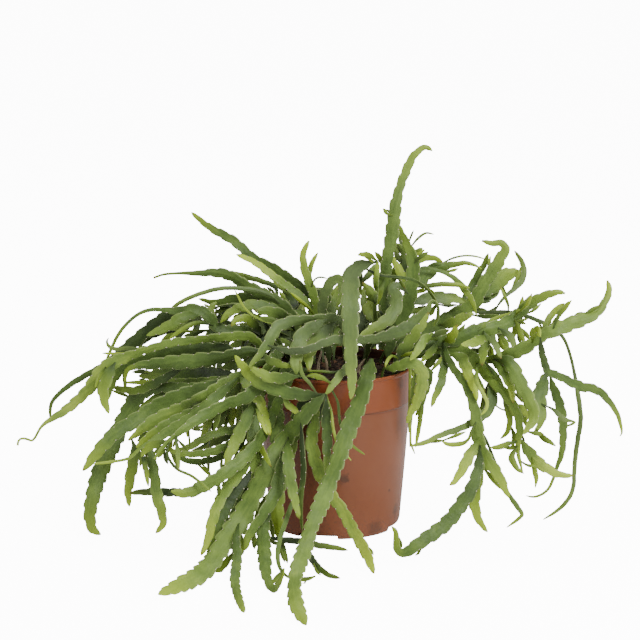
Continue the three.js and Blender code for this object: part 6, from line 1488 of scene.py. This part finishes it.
def makePotPlastic():
    material, tree, shader = newMaterial("mouldedPolypropylene", {
        "Roughness": potLook["roughness"], "IOR": 1.49, "Specular IOR Level": 0.4})
    coords = addNode(tree, "ShaderNodeTexCoord")
    place = coords.outputs["Object"]
    split = addNode(tree, "ShaderNodeSeparateXYZ", None, {0: place})
    height = addNode(tree, "ShaderNodeMath", {"operation": "DIVIDE", 1: potShape["height"] * mm},
                     {0: split.outputs["Z"]})
    # the thin band under the collar's step is painted shade
    bands = ["body", "body", "stepShade", "stepShade", "collar", "collar"]
    stops = [(share, potLook[band]) for share, band in zip((0.0, *potLook["stepShadeShares"], 1.0), bands)]
    tone = addNode(tree, "ShaderNodeValToRGB", {"stops": stops}, {0: height.outputs[0]})
    flow = addNode(tree, "ShaderNodeMapping", {"Scale": (60, 60, 9)}, {"Vector": place})
    marks = addNode(tree, "ShaderNodeTexNoise", {"Scale": 1.0, "Detail": 4.0}, {"Vector": flow.outputs[0]})
    faded = addNode(tree, "ShaderNodeMath", {"operation": "MULTIPLY", 1: potLook["shadeShare"]},
                    {0: marks.outputs["Fac"]})
    speck = addNode(tree, "ShaderNodeTexNoise", {"Scale": 1000 / potLook["scuff"], "Detail": 5.0},
                    {"Vector": place})
    low = addNode(tree, "ShaderNodeValToRGB", {"stops": potLook["dustByHeight"]}, {0: height.outputs[0]})
    dusty = addNode(tree, "ShaderNodeValToRGB", {"stops": potLook["dustBySpeck"]}, {0: speck.outputs["Fac"]})
    dust = addNode(tree, "ShaderNodeMath", {"operation": "MULTIPLY"},
                   {0: low.outputs["Color"], 1: dusty.outputs["Color"]})
    layers = [("shade", faded), ("dust", dust)]
    blotch = addNode(tree, "ShaderNodeTexNoise", {"Scale": 1000 / potLook["blotch"], "Detail": 4.0},
                     {"Vector": place})
    ragged = addNode(tree, "ShaderNodeMath", {"operation": "MULTIPLY_ADD", 1: 1.6, 2: 0.2},
                     {0: blotch.outputs["Fac"]})
    for across, up, size, strength in potLook["stains"]:
        front = -math.sqrt(potRadiusAt(up) ** 2 - across ** 2)
        spot = (across * mm, front * mm, up * mm)
        gap = addNode(tree, "ShaderNodeVectorMath", {"operation": "DISTANCE", 1: spot}, {0: place})
        away = addNode(tree, "ShaderNodeMath", {"operation": "MULTIPLY"},
                       {0: gap.outputs["Value"], 1: ragged.outputs[0]})
        layers.append(("stain", addNode(tree, "ShaderNodeMapRange", {
            1: size * mm, 2: size * potLook["stainCore"] * mm, 3: 0.0, 4: strength}, {0: away.outputs[0]})))
    # painted shade on the left side, darker from x = 8 mm to x = -30 mm
    layers.append(("leftShade", addNode(tree, "ShaderNodeMapRange", {
        "interpolation_type": "SMOOTHSTEP", 1: potLook["leftShadeFrom"] * mm, 2: potLook["leftShadeTo"] * mm, 3: 0.0,
        4: potLook["leftShadeShare"]}, {0: split.outputs["X"]})))
    flat = addNode(tree, "ShaderNodeMapping", {"Scale": (1, 1, 0)}, {"Vector": place})
    fromAxis = addNode(tree, "ShaderNodeVectorMath", {"operation": "LENGTH"}, {0: flat.outputs[0]})
    # painted shade and peat on the inner wall above the soil
    outside, inside = potLook["innerShadeAndPeatRadii"]
    innerSide = addNode(tree, "ShaderNodeMapRange", {
        1: outside * mm, 2: inside * mm, 3: 0.0, 4: potLook["innerShadeAndPeatShare"]}, {0: fromAxis.outputs["Value"]})
    upper = addNode(tree, "ShaderNodeMath", {"operation": "GREATER_THAN", 1: potLook["innerShadeAndPeatFrom"]},
                    {0: height.outputs[0]})
    layers.append(("innerShadeAndPeat", addNode(tree, "ShaderNodeMath", {"operation": "MULTIPLY"},
                                     {0: innerSide.outputs[0], 1: upper.outputs[0]})))
    painted = tone.outputs["Color"]
    for paint, share in layers:  # each lies over the ones before it
        painted = addNode(tree, "ShaderNodeMix", {"data_type": "RGBA", 7: linear(potLook[paint])},
                          {0: share.outputs[0], 6: painted}).outputs[2]
    tree.links.new(painted, shader.inputs["Base Color"])
    fine = addNode(tree, "ShaderNodeTexNoise", {"Scale": potLook["grainScale"], "Detail": 2.0},
                   {"Vector": place})
    bump = addNode(tree, "ShaderNodeBump", {"Strength": 0.12, "Distance": 0.0001},
                   {"Height": fine.outputs["Fac"]})
    tree.links.new(bump.outputs["Normal"], shader.inputs["Normal"])
    return material


potProfile = [  # radius, height: up the outside, over the lip and down the inside
    (48.4, 0.3), (49.3, 1.2), (49.8, 2.6), (50.9, 6), (54.0, 42), (56.9, 78), (57.75, 98.8), (57.95, 99.6),
    (58.3, 99.95), (58.75, 100.4), (59.2, 112), (59.55, 124.2), (60.0, 124.7), (60.45, 125.4), (60.5, 126.3),
    (60.2, 127.0), (59.7, 127.35), (59.2, 127.25), (58.85, 126.7), (58.7, 124), (57.4, 99), (56.5, 97.4),
    (48.9, 6), (48.2, 3.2), (46.4, 1.7),
]


def makeBlock(name, width, height, inner, outer, base, turn):
    # a block that runs outwards from the axis, with its outer side curved like the pot's wall
    side = math.asin(width / 2 / outer)
    arc = [side * (step / 6 - 1) for step in range(13)]
    curve = [(math.cos(a) * outer, math.sin(a) * outer) for a in arc]
    outline = [(inner, -width / 2), *curve, (inner, width / 2)]
    count = len(outline)
    vertices = [(x * mm, y * mm, z * mm) for z in (base, base + height) for x, y in outline]
    faces = [[*reversed(range(count))], [*range(count, 2 * count)]]
    faces += [(k, (k + 1) % count, count + (k + 1) % count, count + k) for k in range(count)]
    mesh = bpy.data.meshes.new(name)
    mesh.from_pydata(vertices, [], faces)
    mesh.transform(Matrix.Rotation(turn, 4, "Z"))
    block = bpy.data.objects.new(name, mesh)
    bpy.context.scene.collection.objects.link(block)
    return block


def makeDrain(inner, turn):
    deselectAll()
    p = potShape
    bpy.ops.mesh.primitive_cylinder_add(vertices=24, radius=p["drainRadius"] * mm, depth=p["cutLength"] * mm,
                                        location=((inner + p["drainPlace"]) * mm, 0, p["cutLength"] / 2 * mm))
    drain = bpy.context.object
    drain.data.transform(drain.matrix_world)
    drain.matrix_world = Matrix.Identity(4)
    drain.data.transform(Matrix.Rotation(turn, 4, "Z"))
    return drain


def combine(pot, other, operation):
    modifier = pot.modifiers.new("shape", "BOOLEAN")
    modifier.operation = operation
    modifier.solver = "EXACT"
    modifier.object = other
    deselectAll()
    bpy.context.view_layer.objects.active = pot
    pot.select_set(True)
    bpy.ops.object.modifier_apply(modifier=modifier.name)
    bpy.data.objects.remove(other)


def buildPot(material):
    deselectAll()
    p = potShape
    radius, height = p["footRadius"], 0.0
    bpy.ops.mesh.primitive_circle_add(vertices=p["spokes"], radius=radius * mm, fill_type="NGON",
                                      location=(0, 0, 0))
    pot = bpy.context.object
    bpy.ops.object.mode_set(mode="EDIT")
    for nextRadius, nextHeight in potProfile:
        bpy.ops.mesh.extrude_region_move(TRANSFORM_OT_translate={"value": (0, 0, (nextHeight - height) * mm)})
        bpy.ops.transform.resize(value=(nextRadius / radius, nextRadius / radius, 1))
        radius, height = nextRadius, nextHeight
    bpy.ops.mesh.select_all(action="SELECT")
    bpy.ops.mesh.normals_make_consistent(inside=False)
    bpy.ops.object.mode_set(mode="OBJECT")
    wall, below = p["coverWall"], p["cutBelow"]
    inner = p["footRadius"] - p["recessDepth"]
    for k in range(p["recessCount"]):  # a recess is cut out of a cover that stands on the pot's floor
        turn = math.radians(p["recessTurn"] + 360 / p["recessCount"] * k)
        combine(pot, makeBlock("cover", p["recessWidth"] + 2 * wall, p["recessHeight"] + wall, inner - wall,
                               p["coverRadius"], p["coverBase"], turn), "UNION")
        combine(pot, makeBlock("recess", p["recessWidth"], p["recessHeight"] + below, inner,
                               p["cutRadius"], -below, turn), "DIFFERENCE")
        combine(pot, makeDrain(inner, turn), "DIFFERENCE")
    deselectAll()
    pot.select_set(True)
    bpy.context.view_layer.objects.active = pot
    bpy.ops.object.shade_smooth_by_angle(angle=math.radians(p["smoothAngle"]))
    return finishPiece(pot, "nursery_pot", ["pot"], [material])


buildPot(makePotPlastic())
print("pot built")

# Damp peat-based potting mix: dark, matt and crumbly, with bark chips and a few white perlite grains.
soilLook = {
    "height": 120.6,
    "mound": 1.4,
    "edge": 57.2,
    "rings": 46,
    "spokes": 132,
    "sides": [(56.2, 112), (55.6, 98), (48.2, 7), (46.4, 2.2)],  # radius, height
    "lumps": [(3, 9, 0.8), (9, 3, 0.5)],  # where the noise is read, how wide the lumps are and how high
    "dark": "#1d1612",
    "light": "#3b2d23",
    "crumb": 2.6,
    "grainReach": 0.985,
    "grainStep": 0.754877666,  # spreads the grains evenly round the axis
}
grainKinds = {
    "soil_crumbs": {
        "material": ("peatCrumbs", "#1a1410", "#43342a", 3.2),
        "count": 1500,
        "salt": 1,
        "sizes": (0.5, 1.6),
        "stretch": 1.2,
        "rise": 0.2,
    },
    "bark_chips": {
        "material": ("pineBark", "#3a281c", "#6b4e37", 2.2),
        "count": 170,
        "salt": 7,
        "sizes": (0.8, 1.9),
        "stretch": 2.4,
        "rise": 0.3,
    },
    "perlite_grains": {
        "material": ("perlite", "#b9b3a8", "#e6e2d8", 1.4),
        "count": 26,
        "salt": 29,
        "sizes": (0.5, 1.1),
        "stretch": 1.1,
        "rise": 0.5,
    },
}


def makeSoil(name, dark, light, scale):
    material, tree, shader = newMaterial(name, {"Roughness": 0.95, "IOR": 1.4, "Specular IOR Level": 0.25})
    coords = addNode(tree, "ShaderNodeTexCoord")
    crumb = addNode(tree, "ShaderNodeTexNoise", {"Scale": 1000 / scale, "Detail": 6.0, "Roughness": 0.65},
                    {"Vector": coords.outputs["Object"]})
    colour = addNode(tree, "ShaderNodeValToRGB", {"stops": [(0.3, dark), (0.72, light)]},
                     {0: crumb.outputs["Fac"]})
    tree.links.new(colour.outputs["Color"], shader.inputs["Base Color"])
    bump = addNode(tree, "ShaderNodeBump", {"Strength": 0.7, "Distance": 0.0006},
                   {"Height": crumb.outputs["Fac"]})
    tree.links.new(bump.outputs["Normal"], shader.inputs["Normal"])
    return material


def soilTop(x, y):
    share = math.hypot(x, y) / soilLook["edge"]
    lumps = sum(noise.noise(Vector((x, y, level)) / wide) * high for level, wide, high in soilLook["lumps"])
    return soilLook["height"] + soilLook["mound"] * (1 - share * share) + lumps


def buildSoil():
    rings, spokes, sides = soilLook["rings"], soilLook["spokes"], soilLook["sides"]
    vertices = [(0, 0, soilTop(0, 0))]
    for ring in range(1, rings + 1):
        for spoke in range(spokes):
            turn = fullTurn * spoke / spokes
            x = math.cos(turn) * soilLook["edge"] * ring / rings
            y = math.sin(turn) * soilLook["edge"] * ring / rings
            vertices.append((x, y, soilTop(x, y)))
    for radius, height in sides:
        for spoke in range(spokes):
            turn = fullTurn * spoke / spokes
            vertices.append((math.cos(turn) * radius, math.sin(turn) * radius, height))
    faces = [(0, 1 + spoke, 1 + (spoke + 1) % spokes) for spoke in range(spokes)]
    for ring in range(rings + len(sides) - 1):
        a, b = 1 + ring * spokes, 1 + (ring + 1) * spokes
        for spoke in range(spokes):
            following = (spoke + 1) % spokes
            faces.append((a + spoke, b + spoke, b + following, a + following))
    last = 1 + (rings + len(sides) - 1) * spokes
    faces.append([last + spoke for spoke in reversed(range(spokes))])
    peat = makeSoil("dampPeat", soilLook["dark"], soilLook["light"], soilLook["crumb"])
    return newPiece("potting_soil", vertices, faces, ["soil"], [peat])


def buildGrains(name, kind):
    material = makeSoil(*kind["material"])
    deselectAll()
    bpy.ops.mesh.primitive_ico_sphere_add(subdivisions=1, radius=1)
    seed = bpy.context.object
    shape = np.array([v.co for v in seed.data.vertices])
    faces = np.array([list(p.vertices) for p in seed.data.polygons])
    bpy.data.objects.remove(seed)
    points, triangles = [], []
    salt, (least, most) = kind["salt"], kind["sizes"]
    for k in range(kind["count"]):
        radius = soilLook["edge"] * soilLook["grainReach"] * math.sqrt(evenDraw(k + salt))
        turn = fullTurn * ((k * soilLook["grainStep"] + salt * 0.31) % 1)
        x, y = radius * math.cos(turn), radius * math.sin(turn)
        size = least + (most - least) * evenDraw(3 * k + salt) ** 2
        spin = Matrix.Rotation(anyTurn * evenDraw(5 * k + salt), 3, "Z")
        spin = spin @ Matrix.Rotation(evenDraw(7 * k) - 0.5, 3, "X")
        lumps = 1 + 0.5 * (np.array([evenDraw(13 * k + 5 * v + salt) for v in range(len(shape))]) - 0.5)
        grain = shape * lumps[:, None] * np.array([size * kind["stretch"], size, size * 0.7])
        grain = grain @ np.array(spin).T + np.array([x, y, soilTop(x, y) + size * kind["rise"]])
        triangles.append(faces + k * len(shape))
        points.append(grain)
    piece = newPiece(name, np.vstack(points), np.vstack(triangles).tolist(), [], [material])
    piece.data.polygons.foreach_set("use_smooth", [False] * len(piece.data.polygons))
    return piece


buildSoil()
for grainName, grainKind in grainKinds.items():
    buildGrains(grainName, grainKind)
print("soil built")

# Dead, dried stem ends: papery grey-tan fibre, split and matt.
stubs = {  # across, fore, height, lean
    "dry_stub_1": (-13, 6, 15, 3),
    "dry_stub_2": (-6, 10, 12, -2),
    "dry_stub_3": (18, 8, 9, 5),
}
stubLook = {
    "tones": [(0.3, "#6d5b45"), (0.6, "#a39377"), (0.8, "#c9bda3")],
    "roughness": 0.85,
    "radius": 1.25,
    "sides": 14,
    "cuts": 3,
    "under": 0.3,
    "ridges": ((0.22, 3, 0.35), (0.12, 7, 1)),  # height, how many round the stub, twist
    "taper": 0.45,
    "flatten": 0.35,
    "smoothAngle": 50,
}


def makeDryFibre():
    material, tree, shader = newMaterial("driedStemFibre", {"Roughness": stubLook["roughness"], "IOR": 1.45})
    coords = addNode(tree, "ShaderNodeTexCoord")
    along = addNode(tree, "ShaderNodeMapping", {"Scale": (1400, 1400, 160)},
                    {"Vector": coords.outputs["Object"]})
    fibre = addNode(tree, "ShaderNodeTexNoise", {"Scale": 1.0, "Detail": 4.0}, {"Vector": along.outputs[0]})
    colour = addNode(tree, "ShaderNodeValToRGB", {"stops": stubLook["tones"]}, {0: fibre.outputs["Fac"]})
    tree.links.new(colour.outputs["Color"], shader.inputs["Base Color"])
    bump = addNode(tree, "ShaderNodeBump", {"Strength": 0.5, "Distance": 0.0003},
                   {"Height": fibre.outputs["Fac"]})
    tree.links.new(bump.outputs["Normal"], shader.inputs["Normal"])
    return material


def buildStub(name, across, fore, height, lean, material):
    deselectAll()
    look = stubLook
    foot, top = stemShape["stubFoot"], stemShape["stubTop"] + height - look["under"]
    bpy.ops.mesh.primitive_cylinder_add(vertices=look["sides"], radius=look["radius"] * mm,
                                        depth=(top - foot) * mm, end_fill_type="TRIFAN")
    stub = bpy.context.object
    bpy.ops.object.mode_set(mode="EDIT")
    bpy.ops.mesh.select_all(action="SELECT")
    bpy.ops.mesh.subdivide(number_cuts=look["cuts"])
    bpy.ops.object.mode_set(mode="OBJECT")
    for vertex in stub.data.vertices:
        z = vertex.co.z / mm + (top + foot) / 2
        rise = max(0, (z - stemShape["stubTop"]) / height)
        turn = math.atan2(vertex.co.y, vertex.co.x)
        ridge = 1
        for high, count, twist in look["ridges"]:
            ridge += high * math.sin(count * turn + z * twist)
        taper = (1 - look["taper"] * rise) * ridge
        vertex.co.x = vertex.co.x * taper + (across + lean * rise * rise) * mm
        vertex.co.y = vertex.co.y * taper * (1 - look["flatten"] * rise) - fore * mm
        vertex.co.z = z * mm
    deselectAll()
    stub.select_set(True)
    bpy.context.view_layer.objects.active = stub
    bpy.ops.object.shade_smooth_by_angle(angle=math.radians(look["smoothAngle"]))
    return finishPiece(stub, f"{name}_fibre", [name], [material])


dryFibre = makeDryFibre()
for stubName, stub in stubs.items():
    buildStub(stubName, *stub, dryFibre)
print("dried stubs built")

studio = {
    "floor": "#f4f4f2",
    "floorSize": 30,
    "floorDrop": 0.0004,
    "glow": 12,
    "skyGlow": 0.5,
    "sky": 0.26,
    "lampAim": (0, 0, 0.12),
    "lamps": (  # name, place, size, energy
        ("keyLight", (0.9, -1.3, 1.7), 0.9, 42),
        ("fillLight", (-1.3, -1.2, 1.1), 1.0, 7),
        ("topLight", (-0.2, 0.6, 1.9), 0.9, 14),
        ("sideLight", (1.5, 0.1, 0.7), 0.7, 8),
    ),
}


def buildStudio():
    deselectAll()
    bpy.ops.mesh.primitive_plane_add(size=studio["floorSize"], location=(0, 0, -studio["floorDrop"]))
    floor = bpy.context.object
    floor.name = "studio_floor"
    # seamless backdrop paper: a matt white that the camera sees a little overexposed
    material, tree, shader = newMaterial("backdropPaper", {
        "Base Color": linear(studio["floor"]), "Roughness": 0.9, "Specular IOR Level": 0.2,
        "Emission Color": (1, 1, 1, 1)})
    seen = addNode(tree, "ShaderNodeLightPath")
    glow = addNode(tree, "ShaderNodeMath", {"operation": "MULTIPLY", 1: studio["glow"]},
                   {0: seen.outputs["Is Camera Ray"]})
    tree.links.new(glow.outputs[0], shader.inputs["Emission Strength"])
    floor.data.materials.append(material)
    world = bpy.data.worlds.new("studio")
    bpy.context.scene.world = world
    world.use_nodes = True
    sky = world.node_tree.nodes["Background"]
    sky.inputs["Color"].default_value = (1, 1, 1, 1)
    visible = addNode(world.node_tree, "ShaderNodeLightPath")
    bright = addNode(world.node_tree, "ShaderNodeMath",
                     {"operation": "MULTIPLY_ADD", 1: studio["glow"] + studio["skyGlow"], 2: studio["sky"]},
                     {0: visible.outputs["Is Camera Ray"]})
    world.node_tree.links.new(bright.outputs[0], sky.inputs["Strength"])
    for name, place, size, energy in studio["lamps"]:
        data = bpy.data.lights.new(name, "AREA")
        data.size = size
        data.energy = energy
        lamp = bpy.data.objects.new(name, data)
        lamp.location = place
        lamp.rotation_euler = (Vector(studio["lampAim"]) - Vector(place)).to_track_quat("-Z", "Y").to_euler()
        bpy.context.scene.collection.objects.link(lamp)


buildStudio()
print("studio built")
